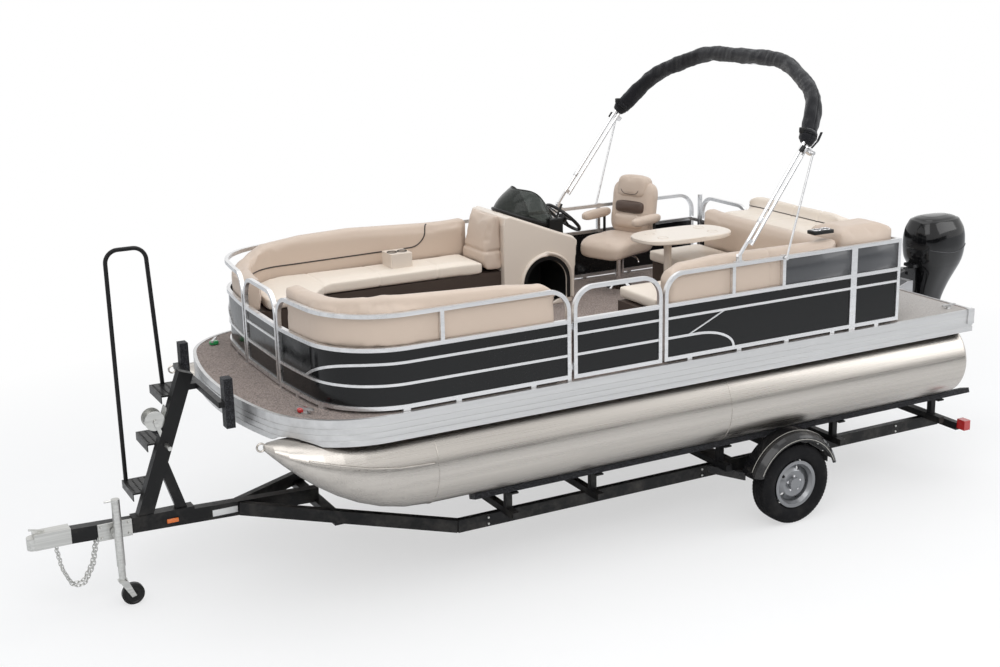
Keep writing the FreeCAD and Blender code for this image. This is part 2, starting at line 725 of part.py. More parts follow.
def aft_section():
    """The port aft rails with the bimini fittings on the top rail."""
    x0, x1 = AFT_SECTION_REAR - RAIL / 2, AFT_SECTION_FRONT + RAIL / 2
    rails = [fence_frame(x0, x1, FENCE_Y, True, False)]
    rails += [short_post(x, FENCE_Y) for x in AFT_POSTS]
    rails.append(box(AFT_MAIN_POST - RAIL, AFT_MAIN_POST + RAIL, FENCE_Y - RAIL / 2,
                     FENCE_Y + RAIL / 2, DECK_TOP, TOP_RAIL_Z))
    rails.append(accent(x0 + 5, x1 - 5, FENCE_Y, ACCENT_UPPER_Z))
    rails.append(accent(SWEEP_FRONT - 25, x1 - 5, FENCE_Y, ACCENT_LOWER_Z))
    y0 = FENCE_Y + PANEL_THICKNESS / 2 + CLEAR
    y1 = FENCE_Y + PANEL_THICKNESS / 2 + ACCENT_DEPTH
    low, high = SWEEP_FRONT + 80, SWEEP_REAR + 75
    rails.append(side_plate([(low - 12, ACCENT_LOWER_Z), (low + 12, ACCENT_LOWER_Z),
                             (high + 12, ACCENT_UPPER_Z), (high - 12, ACCENT_UPPER_Z)], y0, y1))
    rails.append(swept_accent())
    rails += feet(x0, x1, FENCE_Y, 5)
    rails += [bimini_seat(), brace_seat()]
    return fuse(rails)


def swept_accent():
    """The quarter-ellipse accent that drops from the lower accent to the bottom rail."""
    y0 = FENCE_Y + PANEL_THICKNESS / 2 + CLEAR
    depth = ACCENT_DEPTH - CLEAR
    wide, tall = SWEEP_FRONT - SWEEP_REAR, ACCENT_LOWER_Z - PANEL_LOW
    half = ACCENT_HEIGHT / 2
    centre = Vector(SWEEP_FRONT, y0, PANEL_LOW)
    faces = []
    for grow in (half, -half):
        ring = Part.Ellipse(centre + Vector(wide + grow, 0, 0), centre + Vector(0, 0, tall + grow),
                            centre)
        face = Part.Face(Part.Wire(ring.toShape()))
        faces.append(face.extrude(Vector(0, depth, 0)))
    quarter = box(SWEEP_REAR - 20, SWEEP_FRONT + 1, y0, y0 + depth, PANEL_LOW - 1,
                  ACCENT_LOWER_Z + 20)
    return quarter.common(faces[0]).cut(faces[1])


def bimini_seat():
    """The forked fitting on the top rail that takes the canopy frame's hinge pin."""
    top = TOP_RAIL_Z + RAIL / 2
    base = box(BIMINI_X - 40, BIMINI_X + 40, BIMINI_Y - RAIL / 2, BIMINI_Y + RAIL / 2,
               top - 1, top + 8)
    ears = [box(BIMINI_X - 14, BIMINI_X + 14, BIMINI_Y + y, BIMINI_Y + y + 4, top, BIMINI_Z + 14)
            for y in (-16, 12)]
    pin = rod((BIMINI_X, BIMINI_Y - 18, BIMINI_Z), (BIMINI_X, BIMINI_Y + 18, BIMINI_Z), 4.0)
    return fuse([base, pin] + ears)


def brace_seat():
    """The clamp round the top rail with the stud that the brace's foot is pinned to."""
    top = TOP_RAIL_Z + RAIL / 2
    clamp = box(BRACE_FOOT_X - 20, BRACE_FOOT_X + 20, BIMINI_Y - RAIL / 2 - 3,
                BIMINI_Y + RAIL / 2 + 3, top - RAIL, top + 5)
    stud = rod((BRACE_FOOT_X, BIMINI_Y, TOP_RAIL_Z), (BRACE_FOOT_X, BRACE_Y - 14, TOP_RAIL_Z), 9.0)
    return fuse([clamp, stud])


def starboard_section():
    """The starboard rails behind the helm, hooped at both ends."""
    x0, x1 = STERN_GATE_X - RAIL / 2, BOW_SECTION_REAR - RAIL / 2 - RAIL
    rails = [fence_frame(x0, x1, FENCE_Y, True, True)]
    rails += [short_post(x, FENCE_Y) for x in AFT_POSTS + (2900.0,)]
    rails.append(accent(x0 + 5, x1 - 5, FENCE_Y, ACCENT_UPPER_Z))
    rails.append(accent(x0 + 5, x1 - 5, FENCE_Y, ACCENT_LOWER_Z))
    rails += feet(x0, x1, FENCE_Y, 6)
    rails += [bimini_seat(), brace_seat()] + stern_filler()
    return mirrored(fuse(rails))


def stern_filler():
    """The latch post of the stern gate and the short rails that carry it, built to port."""
    half = RAIL / 2
    inner = -STERN_SECTION_END + 3 * GATE_GAP + STERN_GATE_LENGTH
    x = STERN_GATE_X
    post = box(x - half, x + half, inner, inner + RAIL, DECK_TOP, TOP_RAIL_Z + half)
    rails = [box(x - half, x + half, inner + half, FENCE_Y, z - half, z + half)
             for z in (BOTTOM_RAIL_Z, MID_RAIL_Z)]
    return [post] + rails


def stern_section():
    """The rails across the stern behind the sun pad, up to the stern gate."""
    half = RAIL / 2
    x = AFT_SECTION_REAR
    y0, y1 = STERN_SECTION_END, FENCE_Y - half
    rails = [box(x - half, x + half, y0, y1, z - half, z + half)
             for z in (BOTTOM_RAIL_Z, MID_RAIL_Z, TOP_RAIL_Z)]
    rails += [box(x - half, x + half, y, y + RAIL, DECK_TOP, TOP_RAIL_Z + half)
              for y in (y0, STERN_MID_POST)]
    post = box(x + half, STERN_GATE_X + half, y0, y0 + RAIL, TOP_RAIL_Z - half, TOP_RAIL_Z + half)
    low = box(x + half, STERN_GATE_X + half, y0, y0 + RAIL, BOTTOM_RAIL_Z - half,
              BOTTOM_RAIL_Z + half)
    leg = box(STERN_GATE_X - half, STERN_GATE_X + half, y0, y0 + RAIL, DECK_TOP,
              TOP_RAIL_Z + half)
    return fuse(rails + [post, low, leg])


def fence_rails_bow():
    """Bow rails of both sides with the fixed halves of the gate hinges."""
    port = fuse([bow_section()] + hinge_pair(side_gate_axis(), 0, True))
    starboard = fuse([mirrored(bow_section())] + hinge_pair(bow_gate_axis(), -90, True))
    return together([port, starboard])


def fence_rails_aft():
    """Aft rails of both sides and the stern, with the stern gate's fixed hinge halves."""
    port = fuse([aft_section(), stern_section()] + hinge_pair(stern_gate_axis(), 90, True))
    return together([port, starboard_section()])


def straight_panel(x0, x1, y, z0, z1):
    """A flat panel in the fence's plane."""
    return box(x0, x1, y - PANEL_THICKNESS / 2, y + PANEL_THICKNESS / 2, z0, z1)


def fence_panels_bow():
    """The dark panels of the bow sections, curved round the corners."""
    x0, x1, y0, y1 = PORT_REGION
    region = (x0 + RAIL, x1, y0 + RAIL + 2, y1)
    panel = fence_band(-PANEL_THICKNESS / 2, PANEL_THICKNESS / 2, PANEL_LOW, PANEL_HIGH, region)
    return together(pair(panel))


def fence_panels_aft():
    """The dark panels of the aft sections and the grey upper panels at the stern."""
    x0, x1 = AFT_SECTION_REAR + RAIL / 2, AFT_SECTION_FRONT - RAIL / 2
    upper_low, upper_high = MID_RAIL_Z + RAIL / 2, TOP_RAIL_Z - RAIL / 2
    panels = [straight_panel(AFT_MAIN_POST + RAIL, x1, FENCE_Y, PANEL_LOW, PANEL_HIGH),
              straight_panel(x0, AFT_MAIN_POST - RAIL, FENCE_Y, PANEL_LOW, PANEL_HIGH),
              straight_panel(AFT_MAIN_POST + RAIL, AFT_POSTS[1] - RAIL / 2, FENCE_Y,
                             upper_low, upper_high),
              straight_panel(x0, AFT_MAIN_POST - RAIL, FENCE_Y, upper_low, upper_high)]
    s0, s1 = STERN_GATE_X + RAIL / 2, BOW_SECTION_REAR - RAIL * 2.5
    panels.append(straight_panel(s0, s1, -FENCE_Y, PANEL_LOW, PANEL_HIGH))
    half = PANEL_THICKNESS / 2
    for y0, y1 in ((STERN_SECTION_END + RAIL, STERN_MID_POST),
                   (STERN_MID_POST + RAIL, FENCE_Y - RAIL / 2)):
        for z0, z1 in ((PANEL_LOW, PANEL_HIGH), (upper_low, upper_high)):
            panels.append(box(AFT_SECTION_REAR - half, AFT_SECTION_REAR + half, y0, y1, z0, z1))
    return together(panels)


# Gates

def side_gate_axis():
    """The side gate's hinge line: x, y."""
    return SIDE_GATE_FRONT + GATE_GAP, FENCE_Y - RAIL / 2 - HINGE_OFFSET


def bow_gate_axis():
    """The bow gate's hinge line: x, y."""
    return BOW_GATE_X - RAIL / 2 - HINGE_OFFSET, -BOW_GATE_HALF - GATE_GAP


def stern_gate_axis():
    """The stern gate's hinge line: x, y."""
    return STERN_GATE_X + RAIL / 2 + HINGE_OFFSET, STERN_SECTION_END - GATE_GAP


def hinge(fixed, z):
    """Half a gate hinge about the Z axis: the post is at +X, the outside at +Y."""
    if fixed:
        leaf = box(7, GATE_GAP, -4, 34, -HINGE_HALF, HINGE_HALF)
        shapes = [leaf, rod((0, 0, -HINGE_HALF), (0, 0, HINGE_HALF), HINGE_PIN)]
        for low in (-HINGE_HALF, HINGE_HALF - 10):
            shapes.append(rod((0, 0, low), (0, 0, low + 10), HINGE_KNUCKLE))
            shapes.append(box(0, 8, -4, 4, low, low + 10))
        half = fuse(shapes)
    else:
        knuckle = rod((0, 0, -16), (0, 0, 16), HINGE_KNUCKLE)
        tab = box(-32, -1, 3, HINGE_OFFSET, -16, 16)
        half = fuse([knuckle, tab]).cut(rod((0, 0, -20), (0, 0, 20), HINGE_BORE))
    half.translate(Vector(0, 0, z))
    return half


def hinge_pair(axis, turn, fixed):
    """The upper and lower hinge of a gate."""
    shapes = []
    for z in (1500.0, 1780.0):
        half = hinge(fixed, z)
        half.rotate(Vector(0, 0, 0), Vector(0, 0, 1), turn)
        half.translate(Vector(axis[0], axis[1], 0))
        shapes.append(half)
    return shapes


def gate_frame(length):
    """A gate's rail frame along -X from its hinge edge, about the hinge axis."""
    y = HINGE_OFFSET + RAIL / 2
    frame = fence_frame(-GATE_GAP - length, -GATE_GAP, y, True, True, DECK_TOP + RUNNING_GAP * 2)
    accents = [accent(-GATE_GAP - length + 5, -GATE_GAP - 5, y, z)
               for z in (ACCENT_UPPER_Z, ACCENT_LOWER_Z)]
    return fuse([frame] + accents)


def gate_panel(length):
    """The dark panel of a gate, about the hinge axis."""
    y = HINGE_OFFSET + RAIL / 2
    return straight_panel(-GATE_GAP - length + RAIL, -GATE_GAP - RAIL, y,
                          DECK_TOP + RUNNING_GAP * 2 + RAIL, PANEL_HIGH)


def placed_gate(shape, axis, turn):
    """A gate piece turned and moved to its opening."""
    piece = shape.copy()
    piece.rotate(Vector(0, 0, 0), Vector(0, 0, 1), turn)
    piece.translate(Vector(axis[0], axis[1], 0))
    return piece


def gate_frame_at(length, axis, turn):
    """A gate's frame with its moving hinge halves, in its opening."""
    return fuse([placed_gate(gate_frame(length), axis, turn)] + hinge_pair(axis, turn, False))


SIDE_GATE_LENGTH = SIDE_GATE_FRONT - SIDE_GATE_REAR
BOW_GATE_LENGTH = 2 * BOW_GATE_HALF


# Seating

def soft_edges(solid, top, radius):
    """The solid with the edges of its top face rounded."""
    edges = [edge for edge in solid.Edges
             if abs(edge.BoundBox.ZMin - top) < 0.01 and abs(edge.BoundBox.ZMax - top) < 0.01]
    return solid.makeFillet(radius, edges)


def lounge_back_port():
    """The port bow backrest, a bolster that follows the rails."""
    region = (LOUNGE_PORT_REAR, DECK_FRONT, BOW_WALK_HALF, DECK_HALF)
    back = fence_band(BACK_INSET, BACK_INSET + BACK_DEPTH, SEAT_Z - CUSHION, BACK_TOP, region)
    return soft_edges(back, BACK_TOP, BACK_ROUND)


def lounge_back_starboard():
    """The starboard bow backrest with the end rest against the console."""
    region = (LOUNGE_STARBOARD_REAR, DECK_FRONT, -DECK_HALF, -BOW_WALK_HALF)
    back = fence_band(BACK_INSET, BACK_INSET + BACK_DEPTH, SEAT_Z - CUSHION, BACK_TOP, region)
    back = soft_edges(back, BACK_TOP, BACK_ROUND)
    inner = -(FENCE_Y - BACK_INSET - BACK_DEPTH)
    rest = side_plate([(CONSOLE_FRONT + 2, SEAT_Z - CUSHION), (CONSOLE_FRONT + 150, SEAT_Z - CUSHION),
                       (CONSOLE_FRONT + 150, SEAT_Z + 20), (CONSOLE_FRONT + 60, BACK_TOP + 40),
                       (CONSOLE_FRONT + 2, BACK_TOP + 40)], inner + 2, -SEAT_FRONT_Y)
    return together([back, rest])


def lounge_seat(rear):
    """A bow seat cushion on the port side, from its rear end to the bow gate."""
    z0, z1 = SEAT_Z - CUSHION, SEAT_Z
    inside = fence_solid(BACK_INSET + BACK_DEPTH + 2, z0, z1)
    bend = LOUNGE_TAPER_REAR
    plan = [(rear, SEAT_FRONT_Y), (bend, SEAT_FRONT_Y), (bend + LOUNGE_TAPER, BOW_WALK_HALF + 20),
            (DECK_FRONT, BOW_WALK_HALF + 20), (DECK_FRONT, DECK_HALF), (rear, DECK_HALF)]
    return inside.common(flat_plate(plan, z0, z1))


def lounge_base(rear):
    """The moulded base under a bow seat on the port side."""
    z0, z1 = DECK_TOP, SEAT_Z - CUSHION - CLEAR
    inside = fence_solid(BACK_INSET, z0, z1)
    front = SEAT_FRONT_Y + BASE_INSET
    bow = BOW_WALK_HALF + 20 + BASE_INSET
    bend = LOUNGE_TAPER_REAR + 15
    plan = [(rear, front), (bend, front), (bend + LOUNGE_TAPER, bow), (DECK_FRONT, bow),
            (DECK_FRONT, DECK_HALF), (rear, DECK_HALF)]
    return inside.common(flat_plate(plan, z0, z1))


def lounge_bases():
    """The bow seat bases of both sides."""
    return together([lounge_base(LOUNGE_PORT_REAR),
                     mirrored(lounge_base(CONSOLE_FRONT + 2))])


def lounge_seat_port():
    """The port bow seat cushion."""
    return lounge_seat(LOUNGE_PORT_REAR)


def lounge_seat_starboard():
    """The starboard bow seat cushion, up to the end rest."""
    return mirrored(lounge_seat(CONSOLE_FRONT + 152))


def aft_plan(inset, back):
    """The plan of the L-shaped aft seat, with its fronts drawn in by an inset."""
    wall = FENCE_Y - BACK_INSET - back
    rear = CROSS_BACK_X + (CROSS_BACK_DEPTH + 2 if back else 0)
    return [(rear, AFT_STARBOARD_Y + inset), (CROSS_SEAT_FRONT - inset, AFT_STARBOARD_Y + inset),
            (CROSS_SEAT_FRONT - inset, AFT_SEAT_Y + inset), (AFT_LOUNGE_FRONT, AFT_SEAT_Y + inset),
            (AFT_LOUNGE_FRONT, wall), (rear, wall)]


def aft_base():
    """The moulded base of the aft seat and the sun pad's locker."""
    z0, z1 = DECK_TOP, SEAT_Z - CUSHION - CLEAR
    seat = flat_plate(aft_plan(BASE_INSET, 0), z0, z1)
    locker = box(SUNPAD_REAR + 90, CROSS_BACK_X, AFT_STARBOARD_Y + BASE_INSET,
                 FENCE_Y - BACK_INSET, DECK_TOP, SUNPAD_Z - SUNPAD_THICK - CLEAR)
    store = box(SUNPAD_REAR + 130, CROSS_BACK_X - 40, AFT_STARBOARD_Y + BASE_INSET + 40,
                SUNPAD_CORNER_Y - 40, DECK_TOP + 60, SUNPAD_Z)
    return fuse([seat, locker]).cut(store)


def aft_seat():
    """The cushion of the aft seat."""
    return flat_plate(aft_plan(0, BACK_DEPTH + 2), SEAT_Z - CUSHION, SEAT_Z)


def aft_back():
    """The backrests of the aft seat along the port rail and across the boat."""
    wall = FENCE_Y - BACK_INSET
    side = box(CROSS_BACK_X, AFT_LOUNGE_FRONT, wall - BACK_DEPTH, wall, SEAT_Z - CUSHION,
               BACK_TOP - 15)
    across = box(CROSS_BACK_X, CROSS_BACK_X + CROSS_BACK_DEPTH, AFT_STARBOARD_Y, wall,
                 SEAT_Z - CUSHION, BACK_TOP - 15)
    return together([soft_edges(fuse([side, across]), BACK_TOP - 15, BACK_ROUND), sunpad_corner()])


def sunpad_corner():
    """The fixed cushion beside the sun pad."""
    low = SUNPAD_Z - SUNPAD_THICK
    wall = FENCE_Y - BACK_INSET
    corner = box(SUNPAD_REAR + 90, CROSS_BACK_X - 2, SUNPAD_CORNER_Y, wall, low, BACK_TOP)
    return soft_edges(corner, BACK_TOP, BACK_ROUND)


def sunpad_lid():
    """The sun pad's cushion on its lid, which lifts about its front edge."""
    low = SUNPAD_Z - SUNPAD_THICK
    rear = SUNPAD_REAR + 106
    pad = box(rear, CROSS_BACK_X - 8, AFT_STARBOARD_Y, SUNPAD_CORNER_Y - 8, low, SUNPAD_Z)
    pad = soft_edges(pad, SUNPAD_Z, 30.0)
    bolster = box(rear, rear + SUNPAD_BOLSTER, AFT_STARBOARD_Y, SUNPAD_CORNER_Y - 8, low, BACK_TOP)
    return fuse([pad, soft_edges(bolster, BACK_TOP, BACK_ROUND)])


def cup_caddy():
    """The two-cup box that stands on the starboard bow seat."""
    length, width = CADDY_LENGTH / 2, CADDY_WIDTH / 2
    body = box(CADDY_X - length, CADDY_X + length, CADDY_Y - width, CADDY_Y + width,
               SEAT_Z + CLEAR, SEAT_Z + CADDY_HEIGHT)
    body = body.makeFillet(14.0, [edge for edge in body.Edges
                                  if edge.BoundBox.ZLength > CADDY_HEIGHT - 1])
    for x in (CADDY_X - CUP_PITCH / 2, CADDY_X + CUP_PITCH / 2):
        body = body.cut(rod((x, CADDY_Y, SEAT_Z + 40), (x, CADDY_Y, SEAT_Z + 130), CUP_RADIUS))
    return body


# Helm

def helm_console():
    """The moulded console with its arched locker and dash."""
    profile = [(CONSOLE_REAR, DECK_TOP)] + console_line(DASH)
    profile += [(CONSOLE_FRONT - 20, DECK_TOP + DASH_NOSE), (CONSOLE_FRONT, DECK_TOP + DASH_FRONT),
                (CONSOLE_FRONT, DECK_TOP)]
    body = side_plate(profile, CONSOLE_OUTER_Y, CONSOLE_INNER_Y)
    upright = [edge for edge in body.Edges
               if edge.BoundBox.YLength < 1 and edge.BoundBox.YMax > CONSOLE_INNER_Y - 1
               and edge.BoundBox.ZMin > DECK_TOP + DASH[0][1] - 1 and edge.BoundBox.XLength > 60]
    body = body.makeFillet(16.0, upright)
    spring, reach = DECK_TOP + LOCKER_SPRING, LOCKER_DEPTH + 10
    half = LOCKER_WIDTH / 2
    locker = box(LOCKER_X - half, LOCKER_X + half, CONSOLE_INNER_Y - LOCKER_DEPTH,
                 CONSOLE_INNER_Y + 10, DECK_TOP + LOCKER_SILL, spring)
    arch = Part.makeCylinder(half, reach, Vector(LOCKER_X, CONSOLE_INNER_Y + 10, spring),
                             Vector(0, -1, 0))
    return body.cut(fuse([locker, arch]))


def console_line(offsets):
    """Points given forward of the console's rear and above the deck: x, z."""
    return [(CONSOLE_REAR + x, DECK_TOP + z) for x, z in offsets]


def windscreen():
    """The smoked windscreen on its dark base in front of the dash."""
    outer, inner = CONSOLE_OUTER_Y + 40, CONSOLE_INNER_Y - 60
    base = side_plate(console_line(SCREEN_FOOT), outer, inner)
    lift = side_plate(console_line(SCREEN_PANE), outer + 40, inner - 40)
    return fuse([base.cut(console_top()), lift])


def console_top():
    """The space that the console's top takes up, with a clearance."""
    line = [(x, z + CLEAR) for x, z in console_line(DASH)]
    profile = [(line[0][0], line[0][1] - 12)] + line[1:]
    profile += [(CONSOLE_FRONT, DECK_TOP + DASH_NOSE), (CONSOLE_FRONT, line[0][1] - 12)]
    return side_plate(profile, CONSOLE_OUTER_Y - 10, CONSOLE_INNER_Y + 10)


def wheel_frame(shape):
    """A piece built flat at the origin, tilted and moved to the steering wheel's place."""
    shape.rotate(Vector(0, 0, 0), Vector(0, 1, 0), -WHEEL_TILT)
    shape.translate(Vector(WHEEL_X, WHEEL_Y, WHEEL_Z))
    return shape


def octagon(middle, radius):
    """The corners of an octagon whose centre is at a distance from the turning axis."""
    turns = [math.radians(22.5 + 45 * index) for index in range(8)]
    return [(middle + radius * math.cos(turn), radius * math.sin(turn)) for turn in turns]


def steering_wheel():
    """The helm's wheel: rim, three spokes and hub."""
    rim = ring_profile(octagon(WHEEL_RADIUS - WHEEL_RIM, WHEEL_RIM))
    rim.rotate(Vector(0, 0, 0), Vector(1, 0, 0), 90)
    hub = rod((0, 0, -22), (0, 0, 12), 38.0)
    spokes = []
    for turn in (90, 210, 330):
        spoke = box(20, WHEEL_RADIUS - WHEEL_RIM, -11, 11, -5, 5)
        spoke.rotate(Vector(0, 0, 0), Vector(0, 0, 1), turn)
        spokes.append(spoke)
    return wheel_frame(fuse([rim, hub] + spokes))


def helm_dash():
    """The steering column housing and the throttle box on the dash."""
    column = wheel_frame(rod((0, 0, -COLUMN_LENGTH - 60), (0, 0, -22 - CLEAR), 30.0))
    x, y, z = THROTTLE_X, CONSOLE_INNER_Y - 50, DECK_TOP + 552
    throttle = box(x - 60, x + 60, y - 30, y + 30, z, z + 145)
    throttle = throttle.makeFillet(12.0, [edge for edge in throttle.Edges
                                          if edge.BoundBox.ZMin > z + 144])
    lever = rod((x, y + 15, z + 130), (x - 60, y + 15, z + 255), 9.0)
    return fuse([column, throttle, lever]).cut(console_top())


def chair_place(shape):
    """A chair piece built facing +X at the origin, turned and moved to the helm."""
    shape.rotate(Vector(0, 0, 0), Vector(0, 0, 1), CHAIR_TURN)
    shape.translate(Vector(CHAIR_X, CHAIR_Y, 0))
    return shape


def helm_pedestal():
    """The chair's fixed foot and column."""
    foot = Part.makeCone(115, 60, 45, Vector(0, 0, DECK_TOP))
    column = rod((0, 0, DECK_TOP), (0, 0, SEAT_Z - CUSHION - 28 - CLEAR), 36.0)
    return chair_place(fuse([foot, column]))


def helm_seat():
    """The captain's chair: seat, back and two arms on a turning plate."""
    low = SEAT_Z - CUSHION
    plate = box(-110, 110, -110, 110, low - 28, low)
    seat = box(-190, 300, -230, 230, low, SEAT_Z + 15)
    seat = seat.makeFillet(95.0, [edge for edge in seat.Edges
                                  if edge.BoundBox.XMin > 299 and edge.BoundBox.ZLength > 50])
    seat = soft_edges(seat, SEAT_Z + 15, 40.0)
    back = side_plate([(-230, SEAT_Z - 60), (-130, SEAT_Z - 60), (-180, SEAT_Z + 460),
                       (-225, SEAT_Z + 500), (-285, SEAT_Z + 470)], -215, 215)
    back = back.makeFillet(80.0, [edge for edge in back.Edges
                                  if edge.BoundBox.ZMin > SEAT_Z + 459
                                  and edge.BoundBox.YLength < 1 and edge.BoundBox.XLength > 30])
    arms = []
    for y in (-275, 215):
        arm = box(-230, 120, y, y + 60, SEAT_Z + 135, SEAT_Z + 205)
        arms.append(arm.makeFillet(24.0, [edge for edge in arm.Edges if edge.BoundBox.XLength > 90]))
    return chair_place(fuse([plate, seat, back] + arms))


def table():
    """The oval table on its leg and floor socket."""
    top = Part.Ellipse(Vector(TABLE_X, TABLE_Y, TABLE_Z - 30), TABLE_LENGTH / 2, TABLE_WIDTH / 2)
    board = Part.Face(Part.Wire(top.toShape())).extrude(Vector(0, 0, 30))
    leg = rod((TABLE_LEG_X, TABLE_Y, DECK_TOP), (TABLE_LEG_X, TABLE_Y, TABLE_Z - 20), 30.0)
    foot = Part.makeCone(100, 45, 40, Vector(TABLE_LEG_X, TABLE_Y, DECK_TOP))
    boss = rod((TABLE_LEG_X, TABLE_Y, TABLE_Z - 55), (TABLE_LEG_X, TABLE_Y, TABLE_Z - 29), 80.0)
    return fuse([board, leg, foot, boss])


# Bimini, built upright over the hinge at the origin and then leaned back

def bimini_place(shape):
    """A canopy piece leaned back about its hinge and moved to the rails."""
    shape.rotate(Vector(0, 0, 0), Vector(0, 1, 0), -BIMINI_LEAN)
    shape.translate(Vector(BIMINI_X, 0, BIMINI_Z))
    return shape


def bow_path(x, half, rise, leg):
    """The route of one canopy bow: up a leg, over the boat and down the other leg."""
    knee = leg + rise * 0.55
    return [(x, half, leg * 0.12), (x, half - 20, leg), (x, half - 190, knee), (x, half * 0.4, leg + rise),
            (x, -half * 0.4, leg + rise), (x, 190 - half, knee), (x, 20 - half, leg),
            (x, -half, leg * 0.12)]


def bimini_bows():
    """Two canopy bows side by side, joined by hinge eyes at their feet."""
    main = bent_tube(bow_path(0, BIMINI_Y, BIMINI_RISE, BIMINI_LEG), BIMINI_TUBE, BIMINI_BEND)
    second = bent_tube(bow_path(-BIMINI_SPREAD, BIMINI_Y, BIMINI_RISE - 35, BIMINI_LEG - 20),
                       BIMINI_TUBE, BIMINI_BEND)
    shapes = [main, second]
    for side in (1, -1):
        y = side * BIMINI_Y
        shapes.append(box(-8, 8, y - 11, y + 11, -12, BIMINI_LEG * 0.14))
        shapes.append(box(-BIMINI_SPREAD - 6, 6, y - 9, y + 9, BIMINI_LEG * 0.12,
                          BIMINI_LEG * 0.12 + 30))
        near, far = sorted((side * (BIMINI_Y - 24), side * (BRACE_Y - 11)))
        shapes.append(rod((-BRACE_AFT, side * (BRACE_Y - 14), BRACE_TOP),
                          (-BRACE_AFT, side * (BRACE_Y + 12), BRACE_TOP), BRACE_PIN))
        shapes.append(box(-BRACE_AFT - 16, 6 - BIMINI_SPREAD, near, far, BRACE_TOP - 16,
                          BRACE_TOP + 16))
    body = fuse(shapes)
    for side in (1, -1):
        y = side * BIMINI_Y
        body = body.cut(rod((0, y - 20, 0), (0, y + 20, 0), 4.0 + CLEAR))
    return bimini_place(body)


def bimini_boot():
    """The rolled canopy in its cover, round the top of the bows."""
    boot_path = bow_path(-BIMINI_SPREAD / 2, BIMINI_Y, BIMINI_RISE - 18, BIMINI_LEG)
    boot_path[0] = (-BIMINI_SPREAD / 2, BIMINI_Y - 18, BIMINI_LEG * 0.96)
    boot_path[-1] = (-BIMINI_SPREAD / 2, 18 - BIMINI_Y, BIMINI_LEG * 0.96)
    del boot_path[1]
    del boot_path[-2]
    boot = bent_tube(boot_path, BOOT_RADIUS, BIMINI_BEND, 12)
    for x, rise, leg in ((0, BIMINI_RISE, BIMINI_LEG),
                         (-BIMINI_SPREAD, BIMINI_RISE - 35, BIMINI_LEG - 20)):
        route = bow_path(x, BIMINI_Y, rise, leg)
        boot = boot.cut(bent_tube(route, BIMINI_TUBE + CLEAR, BIMINI_BEND))
    return bimini_place(boot)


def brace_top():
    """Where a brace is pinned to the leg: x, z in the boat's frame."""
    lean = math.radians(BIMINI_LEAN)
    return (BIMINI_X - BRACE_TOP * math.sin(lean) - BRACE_AFT * math.cos(lean),
            BIMINI_Z + BRACE_TOP * math.cos(lean) - BRACE_AFT * math.sin(lean))


def bimini_braces():
    """The two struts that prop the bows, from the top rail to the legs."""
    x, z = brace_top()
    struts = []
    for side in (1, -1):
        y = side * BRACE_Y
        strut = rod((x, y, z), (BRACE_FOOT_X, y, TOP_RAIL_Z), BRACE_RADIUS)
        eyes = [rod((at, y - 9, height), (at, y + 9, height), BRACE_EYE)
                for at, height in ((x, z), (BRACE_FOOT_X, TOP_RAIL_Z))]
        hole = rod((x, y - 12, z), (x, y + 12, z), BRACE_PIN + CLEAR)
        struts.append(fuse([strut] + eyes).cut(hole))
    return together(struts)


# Outboard

def outboard_clamp():
    """The clamp bracket hooked over the transom, with the tilt tube."""
    rear = POD_REAR - TRANSOM_THICKNESS
    cheeks = [side_plate([(rear, 1120), (rear, TRANSOM_TOP + 1), (rear + 60, TRANSOM_TOP + 1),
                          (rear + 60, TRANSOM_TOP + 25), (TILT_X + 10, TILT_Z + 26),
                          (TILT_X - 26, TILT_Z), (TILT_X - 20, 1240)], y, y + 22)
              for y in (-122, 100)]
    tube = rod((TILT_X, -140, TILT_Z), (TILT_X, 140, TILT_Z), 14.0)
    brace = box(rear - 24, rear, -110, 110, 1130, 1190)
    return fuse(cheeks + [tube, brace])


def outboard_swivel():
    """The swivel bracket that tilts in the clamp and carries the steering tube."""
    barrel = rod((TILT_X, -92, TILT_Z), (TILT_X, 92, TILT_Z), 28.0)
    arm = side_plate([(TILT_X - 5, TILT_Z - 20), (TILT_X - 5, TILT_Z + 25),
                      (STEER_X - 30, TILT_Z + 5), (STEER_X - 30, 1150), (STEER_X + 40, 1150)],
                     -40, 40)
    tube = rod((STEER_X, 0, 1080), (STEER_X, 0, TILT_Z + 12), 38.0)
    body = fuse([barrel, arm, tube])
    body = body.cut(rod((TILT_X, -150, TILT_Z), (TILT_X, 150, TILT_Z), 14.0 + CLEAR))
    return body.cut(rod((STEER_X, 0, 900), (STEER_X, 0, 1600), 18.0 + CLEAR))


def outboard_leg():
    """The midsection, anti-ventilation plate, gearcase and skeg, with the steering pin."""
    pin = rod((STEER_X, 0, 1040), (STEER_X, 0, 1450), 18.0)
    upper = box(SHAFT_X, STEER_X + 16, -60, 60, TILT_Z + 12 + 6, TILT_Z + 45)
    lower = box(SHAFT_X, STEER_X + 16, -45, 45, 1040, 1074)
    sections = [rounded_section(-900, -640, 80, 60, 1463), rounded_section(-890, -650, 62, 50, 1150),
                rounded_section(-870, -690, 40, 34, 900), rounded_section(-865, -690, 34, 30, 700)]
    mid = Part.makeLoft(sections, True, True)
    plate = box(-1080, -650, -95, 95, 868, 876)
    case = Part.makeCone(18, 52, 140, Vector(-590, 0, PROP_Z), Vector(-1, 0, 0))
    drum = rod((-730, 0, PROP_Z), (PROP_X + 70, 0, PROP_Z), 52.0)
    skeg = side_plate([(-720, 660), (-900, 660), (-905, 540), (-850, 520)], -6, 6)
    shaft = rod((PROP_X + 75, 0, PROP_Z), (PROP_X - 60, 0, PROP_Z), 12.0)
    return fuse([pin, upper, lower, mid, plate, case, drum, skeg, shaft])


